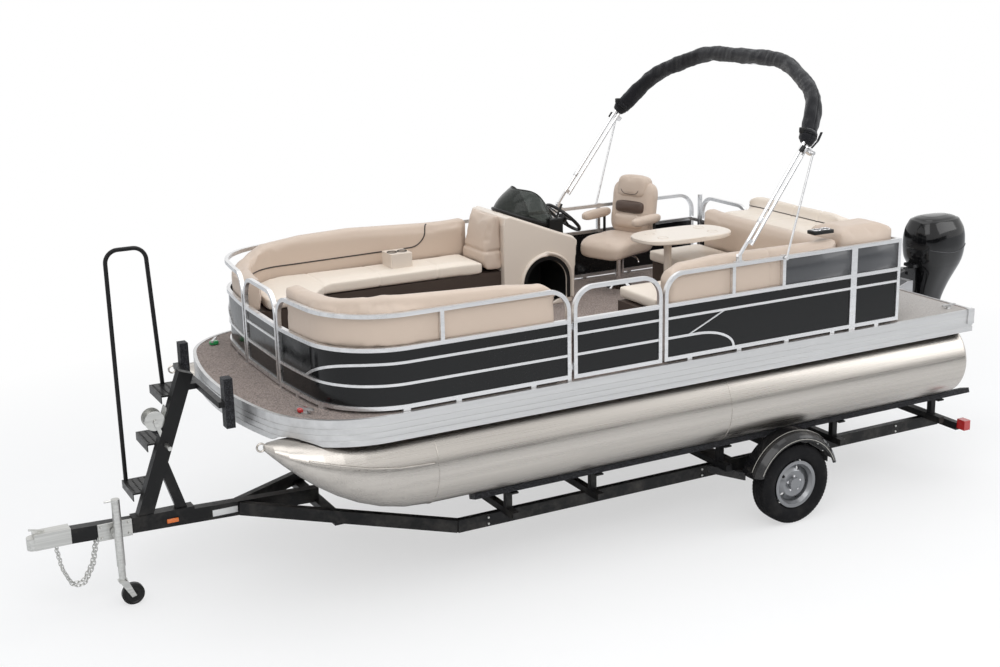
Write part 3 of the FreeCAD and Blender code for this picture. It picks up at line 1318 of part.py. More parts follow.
def outboard_cowl():
    """The engine cover, a lofted shell over the powerhead block."""
    sections = [rounded_section(-1060, COWL_FRONT - 40, 150, 90, 1463 + CLEAR),
                rounded_section(COWL_REAR + 40, COWL_FRONT - 8, 178, 110, 1500),
                rounded_section(COWL_REAR + 4, COWL_FRONT, 192, 120, 1545),
                rounded_section(COWL_REAR, COWL_FRONT, 195, 120, 1640),
                rounded_section(COWL_REAR + 30, COWL_FRONT - 8, 190, 115, 1740),
                rounded_section(COWL_REAR + 90, COWL_FRONT - 40, 170, 105, 1815),
                rounded_section(COWL_REAR + 190, COWL_FRONT - 120, 130, 90, 1855),
                rounded_section(COWL_REAR + 250, COWL_FRONT - 180, 90, 70, COWL_TOP)]
    return Part.makeLoft(sections, True, True)


def propeller():
    """The three-bladed propeller on its hub."""
    hub = rod((PROP_X + 60, 0, PROP_Z), (PROP_X - 50, 0, PROP_Z), 50.0)
    blades = []
    for turn in (0, 120, 240):
        blade = side_plate([(-16, 40), (16, 40), (50, 105), (30, PROP_RADIUS - 8),
                            (-24, PROP_RADIUS), (-46, 110)], -4, 4)
        blade.rotate(Vector(0, 0, 0), Vector(0, 0, 1), 32)
        blade.rotate(Vector(0, 0, 0), Vector(1, 0, 0), turn)
        blade.translate(Vector(PROP_X, 0, PROP_Z))
        blades.append(blade)
    nose = Part.makeCone(50, 22, 34, Vector(PROP_X - 50, 0, PROP_Z), Vector(-1, 0, 0))
    bore = rod((PROP_X + 80, 0, PROP_Z), (PROP_X - 100, 0, PROP_Z), 12.0 + CLEAR)
    return fuse([hub, nose] + blades).cut(bore)


# Stern ladder

def ladder_hinge():
    """The two fixed hinge brackets at the stern edge, outside the ladder's rails."""
    shapes = []
    for side in (1, -1):
        y = LADDER_Y + side * (LADDER_HALF + LADDER_TUBE + 12)
        shapes.append(side_plate([(60, DECK_TOP + SKIRT_LIP), (60, DECK_TOP + SKIRT_LIP + 8),
                                  (LADDER_X - 14, LADDER_Z + 12), (LADDER_X - 14, LADDER_Z - 12),
                                  (-2, DECK_TOP - 20), (-2, DECK_TOP + SKIRT_LIP)], y - 4, y + 4))
        inner = LADDER_Y + side * (LADDER_HALF - LADDER_TUBE - 2)
        shapes.append(rod((LADDER_X, inner, LADDER_Z), (LADDER_X, y + side * 4, LADDER_Z), 5.0))
    return shapes


def ladder_mounts():
    """The ladder's two fixed brackets, each with its pin."""
    brackets = ladder_hinge()
    return [fuse(brackets[0:2]), fuse(brackets[2:4])]


def stern_ladder():
    """The boarding ladder, folded forward over the aft deck."""
    shapes = []
    for side in (1, -1):
        y = LADDER_Y + side * LADDER_HALF
        shapes.append(rod((LADDER_X, y, LADDER_Z), (LADDER_X + LADDER_LENGTH, y, LADDER_Z),
                          LADDER_TUBE))
        shapes.append(Part.makeSphere(LADDER_TUBE, Vector(LADDER_X, y, LADDER_Z)))
    for share in (0.25, 0.6, 0.95):
        x = LADDER_X + LADDER_LENGTH * share
        shapes.append(box(x - 30, x + 30, LADDER_Y - LADDER_HALF, LADDER_Y + LADDER_HALF,
                          LADDER_Z - 8, LADDER_Z + 8))
    body = fuse(shapes)
    for side in (1, -1):
        y = LADDER_Y + side * LADDER_HALF
        body = body.cut(rod((LADDER_X, y - 20, LADDER_Z), (LADDER_X, y + 20, LADDER_Z), 5.3))
    return body


# Trailer

def frame_rail():
    """The port main rail: straight along the boat, then bent in to the tongue."""
    y1 = RAIL_OUTER_Y
    y0 = y1 - RAIL_WIDTH
    straight = box(RAIL_REAR, RAIL_BEND, y0, y1, RAIL_Z, RAIL_Z + RAIL_HEIGHT)
    start = (RAIL_BEND - 8, (y0 + y1) / 2, RAIL_Z + RAIL_HEIGHT / 2)
    end = (RAIL_NOSE, TONGUE_WIDTH / 2, tongue_middle(RAIL_NOSE))
    return fuse([straight, bar(start, end, RAIL_WIDTH, RAIL_HEIGHT)])


def tongue_middle(x):
    """The height of the tongue's centreline, which rises to the coupler."""
    return TONGUE_Z + TONGUE_HEIGHT / 2 + (x - TONGUE_LEVEL_X) * TONGUE_RISE


def trailer_frame():
    """Tongue, rails, cross members and bunk posts, welded together."""
    tongue = bar((TONGUE_REAR, 0, tongue_middle(TONGUE_REAR)),
                 (TONGUE_FRONT, 0, tongue_middle(TONGUE_FRONT)), TONGUE_WIDTH, TONGUE_HEIGHT)
    rails = pair(frame_rail())
    top = RAIL_Z + RAIL_HEIGHT
    crossbars = [box(x - 25, x + 25, -CROSSBAR_HALF, CROSSBAR_HALF, top, top + CROSSBAR_HEIGHT)
                 for x in CROSSBAR_X]
    low = [box(x - 30, x + 30, 10 - RAIL_OUTER_Y, RAIL_OUTER_Y - 10, RAIL_Z + 15, top - 20)
           for x in (AXLE_X - 241, AXLE_X + 299)]
    keeper = box(RAIL_REAR, RAIL_REAR + 50, -KEEPER_HALF, KEEPER_HALF, top - 60, top)
    share = (NECK_X - RAIL_BEND) / (RAIL_NOSE - RAIL_BEND)
    half = (RAIL_OUTER_Y - RAIL_WIDTH / 2) * (1 - share) + TONGUE_WIDTH / 2 * share
    neck = box(NECK_X - 40, NECK_X + 40, -half, half, RAIL_Z + 30, top - 10)
    return fuse([tongue, keeper, neck] + rails + crossbars + low + bunk_posts())


def bunk_posts():
    """The posts and saddles that carry the bunks on each cross member."""
    top = RAIL_Z + RAIL_HEIGHT + CROSSBAR_HEIGHT
    shapes = []
    for x in CROSSBAR_X:
        post = box(x - 22, x + 22, PONTOON_Y - 24, PONTOON_Y + 24, top - 1, bunk_low() - 11)
        saddle = box(x - 30, x + 30, PONTOON_Y - BUNK_OFFSET - 20, PONTOON_Y + BUNK_OFFSET + 20,
                     bunk_low() - 12, bunk_low() - CLEAR)
        shapes += pair(fuse([post, saddle]))
    return shapes


def bunk_tilt():
    """The angle at which a bunk lies against the round pontoon."""
    return math.degrees(math.asin(BUNK_OFFSET / PONTOON_RADIUS))


def bunk_low():
    """The lowest height of the tilted bunks."""
    tilt = math.radians(bunk_tilt())
    reach = PONTOON_RADIUS + CLEAR + BUNK_THICKNESS
    return PONTOON_Z - reach * math.cos(tilt) - BUNK_WIDTH / 2 * math.sin(tilt)


def bunk(side):
    """One carpeted bunk against the pontoon's underside."""
    reach = PONTOON_RADIUS + CLEAR
    board = box(BUNK_REAR, BUNK_FRONT, -BUNK_WIDTH / 2, BUNK_WIDTH / 2, -reach - BUNK_THICKNESS,
                -reach)
    board.rotate(Vector(0, 0, 0), Vector(1, 0, 0), side * bunk_tilt())
    board.translate(Vector(0, PONTOON_Y, PONTOON_Z))
    return board


def bow_stop():
    """The carpeted block that the deck's bow edge leans on."""
    return box(STOP_X, STOP_X + STOP_DEPTH, STOP_Y - STOP_HALF_WIDTH, STOP_Y + STOP_HALF_WIDTH,
               STOP_BOTTOM, STOP_TOP)


def trailer_bunks():
    """The four bunks and the two bow stops."""
    return together(pair(bunk(1)) + pair(bunk(-1)) + pair(bow_stop()))


def axle_arm():
    """The port trailing arm of the axle with its spindle."""
    y1 = TYRE_OUTER_Y - TYRE_WIDTH - 15
    y0 = y1 - AXLE_ARM_WIDTH
    front = AXLE_X + AXLE_ARM
    middle = RAIL_Z - AXLE_TUBE / 2
    arm = bar((AXLE_X, (y0 + y1) / 2, AXLE_Z), (front, (y0 + y1) / 2, middle), AXLE_ARM_WIDTH,
              AXLE_ARM_HEIGHT)
    eyes = [rod((AXLE_X, y0, AXLE_Z), (AXLE_X, y1, AXLE_Z), AXLE_ARM_HEIGHT / 2),
            rod((front, y0 - 10, middle), (front, y1, middle), AXLE_ARM_HEIGHT / 2)]
    spindle = rod((AXLE_X, y0, AXLE_Z), (AXLE_X, TYRE_OUTER_Y - 60, AXLE_Z), SPINDLE_RADIUS)
    return fuse([arm, spindle] + eyes)


def trailer_axle():
    """The rubber-sprung axle: a square beam under the rails with an arm at each end."""
    inner = TYRE_OUTER_Y - TYRE_WIDTH - 15 - AXLE_ARM_WIDTH - 5
    x = AXLE_X + AXLE_ARM
    beam = box(x - AXLE_TUBE / 2, x + AXLE_TUBE / 2, -inner, inner, RAIL_Z - AXLE_TUBE, RAIL_Z)
    plate = box(x - 90, x + 90, RAIL_OUTER_Y - RAIL_WIDTH - 6, RAIL_OUTER_Y + 6, RAIL_Z - 8, RAIL_Z)
    return fuse([beam] + pair(plate) + pair(axle_arm()))


def wheel_middle():
    """The Y of a wheel's middle plane."""
    return TYRE_OUTER_Y - TYRE_WIDTH / 2


def ring_profile(points):
    """A solid turned about the Y axis from (radius, y) points."""
    corners = [Vector(r, y, 0) for r, y in points]
    face = Part.Face(Part.makePolygon(corners + corners[:1]))
    return face.revolve(Vector(0, 0, 0), Vector(0, 1, 0), 360)


def tyre():
    """The port tyre, with sloping shoulders."""
    half = TYRE_WIDTH / 2
    body = ring_profile([(BEAD_RADIUS, -BEAD_HALF), (RIM_RADIUS + 3, -BEAD_HALF),
                         (TYRE_RADIUS - 52, -half), (TYRE_RADIUS, TYRE_SHOULDER - half),
                         (TYRE_RADIUS, half - TYRE_SHOULDER), (TYRE_RADIUS - 52, half),
                         (RIM_RADIUS + 3, BEAD_HALF), (BEAD_RADIUS, BEAD_HALF)])
    body.translate(Vector(AXLE_X, wheel_middle(), AXLE_Z))
    return body


def rim():
    """The port steel rim with its slotted disc and hub."""
    bead = BEAD_RADIUS - CLEAR
    half = BEAD_HALF + CLEAR
    barrel = ring_profile([(bead, -half), (RIM_RADIUS, -half), (RIM_RADIUS, -half - 6),
                           (bead - 9, -half - 6), (bead - 26, 22 - half), (bead - 26, half - 22),
                           (bead - 9, half + 6), (RIM_RADIUS, half + 6), (RIM_RADIUS, half),
                           (bead, half)])
    disc = ring_profile([(0, 18), (0, 62), (45, 62), (50, 38), (98, 46), (bead - 25, 16),
                         (bead - 25, 6), (98, 32), (50, 18)])
    for index in range(RIM_SLOTS):
        turn = math.radians(360 / RIM_SLOTS * index + 36)
        slot = rod((118 * math.cos(turn), 0, 118 * math.sin(turn)),
                   (118 * math.cos(turn), 80, 118 * math.sin(turn)), 13.0)
        disc = disc.cut(slot)
    hub = rod((0, -60, 0), (0, 20, 0), 42.0)
    body = fuse([barrel, disc, hub])
    body = body.cut(rod((0, -90, 0), (0, 27, 0), SPINDLE_RADIUS + RUNNING_FIT))
    body.translate(Vector(AXLE_X, wheel_middle(), AXLE_Z))
    return body


def fender_curve(grow):
    """The fender's section, drawn in or out: (radius, y) from its inner edge to its lip."""
    crown, lip, outer = FENDER_RADIUS + grow, FENDER_LIP_RADIUS, FENDER_OUTER_Y + grow
    return [(crown, FENDER_INNER_Y), (crown, outer - 62), (crown - 8, outer - 40),
            (crown - 24, outer - 16), (crown - 40, outer), (lip, outer)]


def fender_bracket(x, reach):
    """A plate from the port rail out to one end of the fender."""
    low = FENDER_LOW - 45
    high = FENDER_LOW + 14
    arm = flat_plate([(x, RAIL_OUTER_Y), (x + 8, RAIL_OUTER_Y), (x + 8 + reach, FENDER_INNER_Y + 30),
                      (x + reach, FENDER_INNER_Y + 30)], low, high)
    return arm


def fender():
    """The port fender over the wheel with its two brackets."""
    outline = fender_curve(0) + fender_curve(-FENDER_SHEET)[::-1]
    shell = ring_profile(outline)
    shell.translate(Vector(AXLE_X, 0, AXLE_Z))
    above = box(AXLE_X - 420, AXLE_X + 420, FENDER_INNER_Y - 1, FENDER_OUTER_Y + 1, FENDER_LOW,
                AXLE_Z + 420)
    shell = shell.common(above)
    end = math.sqrt(FENDER_RADIUS ** 2 - (FENDER_LOW - AXLE_Z) ** 2)
    brackets = [fender_bracket(AXLE_X + end + 130, -140.0), fender_bracket(AXLE_X - end - 48, 46.0)]
    return fuse([shell] + brackets)


def tail_lights():
    """The rear lamps on the ends of the rear cross bar."""
    low = RAIL_Z + RAIL_HEIGHT - 45
    lamp = box(RAIL_REAR - 22, RAIL_REAR - 22 + LAMP_DEPTH, KEEPER_HALF, KEEPER_HALF + LAMP_WIDTH,
               low, low + LAMP_HEIGHT)
    return together(pair(lamp))


def post_line(z):
    """The winch post's centreline in side view: x at a height."""
    foot = tongue_middle(POST_FOOT_X) + TONGUE_HEIGHT / 2
    share = (z - foot) / (POST_TOP_Z - foot)
    return POST_FOOT_X + (POST_TOP_X - POST_FOOT_X) * share


def winch_post(grow):
    """The sloping post on the tongue, drawn out by a clearance."""
    foot = tongue_middle(POST_FOOT_X) + TONGUE_HEIGHT / 2
    return bar((POST_FOOT_X, 0, foot - 20), (POST_TOP_X, 0, POST_TOP_Z), POST_WIDTH + 2 * grow,
               POST_DEPTH + 2 * grow)


def boarding_stand():
    """The winch post, its brace, three steps, the hoop handrail and the bow stop crossbar."""
    foot = tongue_middle(POST_FOOT_X) + TONGUE_HEIGHT / 2
    post = winch_post(0)
    brace = bar((BRACE_FOOT, 0, tongue_middle(BRACE_FOOT) + 30),
                (post_line(BRACE_HEAD_Z), 0, BRACE_HEAD_Z), 60, 70)
    under = bar((TONGUE_REAR, 0, tongue_middle(TONGUE_REAR)),
                (TONGUE_FRONT, 0, tongue_middle(TONGUE_FRONT)), TONGUE_WIDTH + 10, TONGUE_HEIGHT)
    base = box(BRACE_FOOT - 70, POST_FOOT_X + 80, -46, 46, foot - 30, foot + 12)
    low, high = CROSS_BAR_Z - 20, CROSS_BAR_Z + 20
    cross = box(STOP_X + STOP_DEPTH, STOP_X + STOP_DEPTH + 40, -STOP_Y - 30, STOP_Y + 30, low, high)
    tie = box(STOP_X + STOP_DEPTH, POST_TOP_X + 20, -30, 30, low, high)
    steps = []
    for z in STEP_Z:
        x = post_line(z)
        steps.append(box(x - 70, x + STEP_DEPTH - 50, -POST_WIDTH / 2 - STEP_WIDTH,
                         2 - POST_WIDTH / 2, z, z + 12))
        steps.append(box(x + STEP_DEPTH - 56, x + STEP_DEPTH - 50, -POST_WIDTH / 2 - STEP_WIDTH,
                         2 - POST_WIDTH / 2, z - 45, z + 12))
    y = -POST_WIDTH / 2 - STEP_WIDTH + HANDRAIL_RADIUS
    front = post_line(STEP_Z[0]) + STEP_DEPTH - 75
    rear = post_line(STEP_Z[2]) + 10
    rail = bent_tube([(front, y, STEP_Z[0]), (front, y, HANDRAIL_TOP),
                      (rear + 40, y, HANDRAIL_TOP), (rear, y, STEP_Z[2])], HANDRAIL_RADIUS, 88)
    return fuse([post, brace, base, cross, tie, rail] + steps).cut(under)


def winch():
    """The winch drum, cheeks and crank in front of the post."""
    x, z = post_line(WINCH_Z - 35) + 105, WINCH_Z
    cheeks = [rod((x, y, z), (x, y + 5, z), 68.0) for y in (-75, 20)]
    drum = rod((x, -72, z), (x, 22, z), 32.0)
    seat = box(x - 75, x - 10, -60, 20, z - 60, z - 52)
    crank = bar((x, 34, z), (x - 60, 34, z - 175), 6, 26)
    axle = rod((x, 20, z), (x, 40, z), 10.0)
    grip = rod((x - 60, 36, z - 175), (x - 60, 130, z - 175), 15.0)
    plate = bar((post_line(z - 95) + 52, -30, z - 85), (post_line(z + 65) + 52, -30, z + 75), 90, 6)
    return fuse([drum, seat, crank, axle, grip, plate] + cheeks).cut(winch_post(CLEAR))


def coupler():
    """The ball coupler on the tongue's nose, with its latch."""
    z = tongue_middle(TONGUE_FRONT)
    channel = box(TONGUE_FRONT - 150, COUPLER_NOSE - 46, -50, 50, z - SOCKET_LIP, z + 58)
    under = bar((TONGUE_REAR, 0, tongue_middle(TONGUE_REAR)),
                (TONGUE_FRONT + 2, 0, tongue_middle(TONGUE_FRONT + 2)), TONGUE_WIDTH, TONGUE_HEIGHT)
    nose = rod((COUPLER_NOSE - 46, 0, z - SOCKET_LIP), (COUPLER_NOSE - 46, 0, z + 30), 46.0)
    latch = bar((COUPLER_NOSE - 121, 0, z + 62), (COUPLER_NOSE - 21, 0, z + 84), 16, 10)
    latch_post = box(COUPLER_NOSE - 96, COUPLER_NOSE - 76, -8, 8, z + 50, z + 70)
    body = fuse([channel, nose, latch, latch_post])
    socket = rod((COUPLER_NOSE - 46, 0, z - 70), (COUPLER_NOSE - 46, 0, z - SOCKET_ROOF),
                 BALL_RADIUS)
    return body.cut(fuse([under, socket]))


def safety_chains():
    """The two safety chains hung below the tongue, as slim loops."""
    chains = []
    under = TONGUE_HEIGHT / 2 + 5 * CLEAR
    for y in (30.0, -30.0):
        front, rear = TONGUE_FRONT - 50, TONGUE_FRONT - 320
        points = [(front, y, tongue_middle(front) - under), (front - 25, y, CHAIN_LOW + 140),
                  (front - 80, y, CHAIN_LOW + 10), (rear + 110, y, CHAIN_LOW),
                  (rear + 40, y, CHAIN_LOW + 130), (rear, y, tongue_middle(rear) - under)]
        chains.append(bent_tube(points, CHAIN_RADIUS, 40, 4))
    return together(chains)


# Jack

def jack_leg():
    """The jack's outer tube on the pivot that lets it swing up."""
    tube = rod((JACK_X, JACK_Y, JACK_TUBE_LOW), (JACK_X, JACK_Y, JACK_TOP), JACK_OUTER)
    bore = rod((JACK_X, JACK_Y, JACK_TUBE_LOW - 10), (JACK_X, JACK_Y, JACK_TOP - 30), JACK_BORE)
    handle = rod((JACK_X, JACK_Y, JACK_TOP - 8), (JACK_X + 75, JACK_Y, JACK_TOP - 8), 7.0)
    collar = rod((JACK_X, TONGUE_WIDTH / 2 + 22, JACK_PIVOT_Z),
                 (JACK_X, JACK_Y, JACK_PIVOT_Z), 34.0)
    pivot = rod((JACK_X, 0, JACK_PIVOT_Z), (JACK_X, JACK_Y - 30, JACK_PIVOT_Z), 16.0 + CLEAR)
    return fuse([tube, handle, collar]).cut(fuse([bore, pivot]))


def jack_bracket():
    """The fixed jack plate on the tongue's port side with its pivot."""
    side = TONGUE_WIDTH / 2
    length, height = JACK_PLATE_LENGTH / 2, JACK_PLATE_HEIGHT / 2
    plate = box(JACK_X - length, JACK_X + length, side + CLEAR / 2, side + 12,
                JACK_PIVOT_Z - height, JACK_PIVOT_Z + height)
    pivot = rod((JACK_X, side, JACK_PIVOT_Z), (JACK_X, JACK_Y - 32, JACK_PIVOT_Z), 16.0)
    return fuse([plate, pivot])


def jack_ram():
    """The inner tube that screws in and out of the jack."""
    return rod((JACK_X, JACK_Y, 194 + CLEAR), (JACK_X, JACK_Y, 600), JACK_INNER)


def jack_fork():
    """The caster fork under the ram."""
    cap = rod((JACK_X, JACK_Y, 180), (JACK_X, JACK_Y, 194), 30.0)
    half = CASTER_WIDTH / 2 + 6
    cheeks = []
    for y in (JACK_Y - half - 5, JACK_Y + half):
        cheeks.append(side_plate([(JACK_X + 28, 186), (JACK_X - 28, 186),
                                  (JACK_X - CASTER_TRAIL - 18, CASTER_RADIUS - 8),
                                  (JACK_X - CASTER_TRAIL + 14, CASTER_RADIUS - 16)], y, y + 5))
    crown = box(JACK_X - 28, JACK_X + 28, JACK_Y - half - 5, JACK_Y + half + 5, 176, 186)
    axle = rod((JACK_X - CASTER_TRAIL, JACK_Y - half - 8, CASTER_RADIUS),
               (JACK_X - CASTER_TRAIL, JACK_Y + half + 8, CASTER_RADIUS), 7.0)
    return fuse([cap, crown, axle] + cheeks)


def jack_wheel():
    """The jack's small wheel."""
    half = CASTER_WIDTH / 2
    body = ring_profile([(7 + CLEAR, -half - 3), (22, -half - 3), (30, -half + 6), (56, -half + 6),
                         (62, -half), (CASTER_RADIUS, -half + 6), (CASTER_RADIUS, half - 6),
                         (62, half), (56, half - 6), (30, half - 6), (22, half + 3),
                         (7 + CLEAR, half + 3)])
    body.translate(Vector(JACK_X - CASTER_TRAIL, JACK_Y, CASTER_RADIUS))
    return body


def gate(length, axis, turn):
    """The frame and the panel of one gate."""
    return gate_frame_at(length, axis, turn), placed_gate(gate_panel(length), axis, turn)


def all_parts():
    """Every node of the model with its shape."""
    side_frame, side_panel = gate(SIDE_GATE_LENGTH, side_gate_axis(), 0)
    bow_frame, bow_panel = gate(BOW_GATE_LENGTH, bow_gate_axis(), -90)
    stern_frame, stern_panel = gate(STERN_GATE_LENGTH, stern_gate_axis(), 90)
    port_pontoon = pontoon()
    port_tyre = tyre()
    port_rim = rim()
    return {
        "pontoon_port": port_pontoon,
        "pontoon_starboard": mirrored(port_pontoon),
        "deck_frame": deck_frame(),
        "deck_floor": deck_floor(),
        "deck_trim": deck_trim(),
        "motor_pod": motor_pod(),
        "fence_rails_bow": fence_rails_bow(),
        "fence_rails_aft": fence_rails_aft(),
        "fence_panels_bow": fence_panels_bow(),
        "fence_panels_aft": fence_panels_aft(),
        "gate_side_frame": side_frame,
        "gate_side_panel": side_panel,
        "gate_bow_frame": bow_frame,
        "gate_bow_panel": bow_panel,
        "gate_stern_frame": stern_frame,
        "gate_stern_panel": stern_panel,
        "lounge_bases": lounge_bases(),
        "lounge_seat_port": lounge_seat_port(),
        "lounge_seat_starboard": lounge_seat_starboard(),
        "lounge_back_port": lounge_back_port(),
        "lounge_back_starboard": lounge_back_starboard(),
        "aft_base": aft_base(),
        "aft_seat": aft_seat(),
        "aft_back": aft_back(),
        "sunpad_lid": sunpad_lid(),
        "helm_console": helm_console(),
        "helm_controls": helm_dash(),
        "windscreen": windscreen(),
        "steering_wheel": steering_wheel(),
        "helm_pedestal": helm_pedestal(),
        "helm_seat": helm_seat(),
        "table": table(),
        "cup_caddy": cup_caddy(),
        "bimini_bows": bimini_bows(),
        "bimini_boot": bimini_boot(),
        "bimini_braces": bimini_braces(),
        "outboard_clamp": outboard_clamp(),
        "outboard_swivel": outboard_swivel(),
        "outboard_leg": outboard_leg(),
        "outboard_cowl": outboard_cowl(),
        "propeller": propeller(),
        "stern_ladder": stern_ladder(),
        "trailer_frame": trailer_frame(),
        "jack_bracket": jack_bracket(),
        "trailer_bunks": trailer_bunks(),
        "trailer_axle": trailer_axle(),
        "trailer_fenders": together(pair(fender())),
        "tail_lights": tail_lights(),
        "boarding_stand": boarding_stand(),
        "winch": winch(),
        "coupler": coupler(),
        "safety_chains": safety_chains(),
        "jack_leg": jack_leg(),
        "jack_ram": jack_ram(),
        "jack_fork": jack_fork(),
        "jack_wheel": jack_wheel(),
        "tyre_port": port_tyre,
        "tyre_starboard": mirrored(port_tyre),
        "rim_port": port_rim,
        "rim_starboard": mirrored(port_rim),
    }


for node, shape in all_parts().items():
    shape.translate(Vector(-ORIGIN_X, 0, 0))
    shape.exportStep(os.path.join("parts", node + ".step"))
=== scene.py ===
import json
import logging
import math
from dataclasses import dataclass, field
from enum import Enum
from typing import Callable, Dict, List, Optional, Sequence, Tuple

import bmesh
import bpy
import numpy as np
from mathutils import Matrix, Vector
from mathutils.bvhtree import BVHTree


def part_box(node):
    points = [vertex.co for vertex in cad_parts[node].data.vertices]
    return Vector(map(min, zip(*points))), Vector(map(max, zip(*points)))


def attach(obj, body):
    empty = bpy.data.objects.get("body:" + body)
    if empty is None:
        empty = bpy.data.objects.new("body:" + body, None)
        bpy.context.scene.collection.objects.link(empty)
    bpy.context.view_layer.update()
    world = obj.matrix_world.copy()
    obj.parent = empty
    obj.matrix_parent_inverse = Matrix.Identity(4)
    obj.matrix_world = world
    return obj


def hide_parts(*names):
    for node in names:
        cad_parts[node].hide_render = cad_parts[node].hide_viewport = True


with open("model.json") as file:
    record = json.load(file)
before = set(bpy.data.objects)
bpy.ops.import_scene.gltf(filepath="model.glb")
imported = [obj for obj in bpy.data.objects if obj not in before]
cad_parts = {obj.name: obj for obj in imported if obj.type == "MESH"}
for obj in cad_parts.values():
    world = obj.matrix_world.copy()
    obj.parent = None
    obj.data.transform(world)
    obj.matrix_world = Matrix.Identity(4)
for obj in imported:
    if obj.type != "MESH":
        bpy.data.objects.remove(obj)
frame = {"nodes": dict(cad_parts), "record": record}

LOG = logging.getLogger("pontoon_boat")

Colour = Tuple[float, float, float]
Array = np.ndarray

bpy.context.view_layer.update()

FLOOR_INSET = 0.024             # from the stern edge of the deck forward to its floor board
# The stern edge of the deck in the row frame; distances named "station" are measured from it.
STERN_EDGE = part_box("deck_floor")[0].x - FLOOR_INSET
CUSHION_VOXEL = 0.019           # edge length of a cushion's remeshed faces
STEEP = 0.985                   # share of a heading that is vertical, past which X guides a tube


class Body(Enum):
    """The moving bodies that new pieces ride on."""

    BOAT = "boat_on_trailer"
    SUN_PAD = "sunpad_lid"
    WHEEL = "steering_wheel"
    CHAIR = "helm_seat"
    CANOPY = "bimini"
    OUTBOARD = "outboard"
    TYRE_PORT = "wheel_port"
    TYRE_STARBOARD = "wheel_starboard"


def station(x: float) -> float:
    """Turns a distance forward of the stern edge into a row X."""
    return STERN_EDGE + x


# Meshes

def around(count: int) -> Array:
    """Evenly spaced angles round a full turn."""
    return np.linspace(0, 2 * math.pi, count, endpoint=False)


def grid_faces(rows: int, columns: int, round_rows: bool, round_columns: bool) -> Array:
    """The quads of a grid of points, joined round where asked.

    Args:
        rows: Points along the first parameter.
        columns: Points along the second parameter.
        round_rows: Whether the last row joins the first.
        round_columns: Whether the last column joins the first.

    Returns:
        An array of four vertex numbers a face.
    """
    i, j = np.meshgrid(np.arange(rows if round_rows else rows - 1),
                       np.arange(columns if round_columns else columns - 1), indexing="ij")
    after_i, after_j = (i + 1) % rows, (j + 1) % columns
    corners = (i * columns + j, after_i * columns + j, after_i * columns + after_j,
               i * columns + after_j)
    return np.stack([c.ravel() for c in corners], axis=1)


def capped_faces(rows: int, columns: int) -> List[Sequence[int]]:
    """The quads of a sleeve of rings and the two faces that shut its ends."""
    faces: List[Sequence[int]] = grid_faces(rows, columns, False, True).tolist()
    return faces + [list(range(columns)), list(range((rows - 1) * columns, rows * columns))]


def linked(name: str, data: bpy.types.ID) -> bpy.types.Object:
    """A new object that shows the data, linked to the scene."""
    thing = bpy.data.objects.new(name, data)
    bpy.context.scene.collection.objects.link(thing)
    return thing


def shade(mesh: bpy.types.Mesh, smooth: bool = True) -> None:
    """Shades all the faces of a mesh smooth or flat."""
    mesh.polygons.foreach_set("use_smooth", np.full(len(mesh.polygons), smooth))


def modify(piece: bpy.types.Object, kind: str, **settings: object) -> None:
    """Adds a modifier to a piece with its settings."""
    modifier = piece.modifiers.new(kind.lower(), kind)
    for key, value in settings.items():
        setattr(modifier, key, value)


def make_mesh(name: str, points: Array, faces: Sequence, smooth: bool = True) -> bpy.types.Object:
    """Makes an object at the origin from points and faces, with its faces outward.

    Args:
        name: The piece's name.
        points: Vertices in metres, in the row frame.
        faces: Vertex numbers of each face.
        smooth: Whether the faces are shaded smooth.

    Returns:
        The new object.
    """
    mesh = bpy.data.meshes.new(name)
    mesh.from_pydata(np.asarray(points, float).reshape(-1, 3).tolist(), [],
                     [list(map(int, face)) for face in faces])
    work = bmesh.new()
    work.from_mesh(mesh)
    bmesh.ops.remove_doubles(work, verts=work.verts, dist=1e-6)
    bmesh.ops.recalc_face_normals(work, faces=work.faces)
    work.to_mesh(mesh)
    work.free()
    shade(mesh, smooth)
    mesh.update()
    return linked(name, mesh)


def run_along(path: Array) -> Array:
    """The distance from the path's start to each of its points."""
    return np.concatenate([[0.0], np.cumsum(np.linalg.norm(np.diff(path, axis=0), axis=1))])


def unit(vectors: Array) -> Array:
    """Vectors drawn out to length one."""
    return vectors / np.linalg.norm(vectors, axis=-1, keepdims=True)


def carried_frames(path: Array, closed: bool) -> Tuple[Array, Array]:
    """Two directions square to a path at each of its points.

    The heading is the difference of the points either side; the first direction is the
    heading crossed with the vertical, or with X where the path is steep, and the second
    is square to both.

    Args:
        path: Points along the path.
        closed: Whether the last point joins the first.

    Returns:
        The sideways and the upward direction at each point.
    """
    if closed:
        heading = np.roll(path, -1, axis=0) - np.roll(path, 1, axis=0)
    else:
        heading = np.gradient(path, axis=0)
    heading = unit(heading)
    up = np.array([0.0, 0.0, 1.0])
    if np.abs(heading @ up).max() > STEEP:
        up = np.array([1.0, 0.1, 0.0])
    side = unit(np.cross(heading, up))
    return side, np.cross(side, heading)


def tube(name: str, path: Array, radius: float, sides: int = 10, closed: bool = False,
         flatten: float = 1.0) -> bpy.types.Object:
    """A round tube along a path: each point gets a ring of the radius, square to the heading.

    Args:
        name: The piece's name.
        path: Points along the centreline.
        radius: The tube's radius.
        sides: Points round the ring.
        closed: Whether the path closes on itself.
        flatten: The ring's height as a share of its width.

    Returns:
        The new object.
    """
    path = np.asarray(path, float)
    side, up = carried_frames(path, closed)
    turn = around(sides)
    ring = (np.cos(turn)[None, :, None] * side[:, None, :]
            + flatten * np.sin(turn)[None, :, None] * up[:, None, :])
    faces = grid_faces(len(path), sides, True, True) if closed else capped_faces(len(path), sides)
    return make_mesh(name, path[:, None, :] + radius * ring, faces)


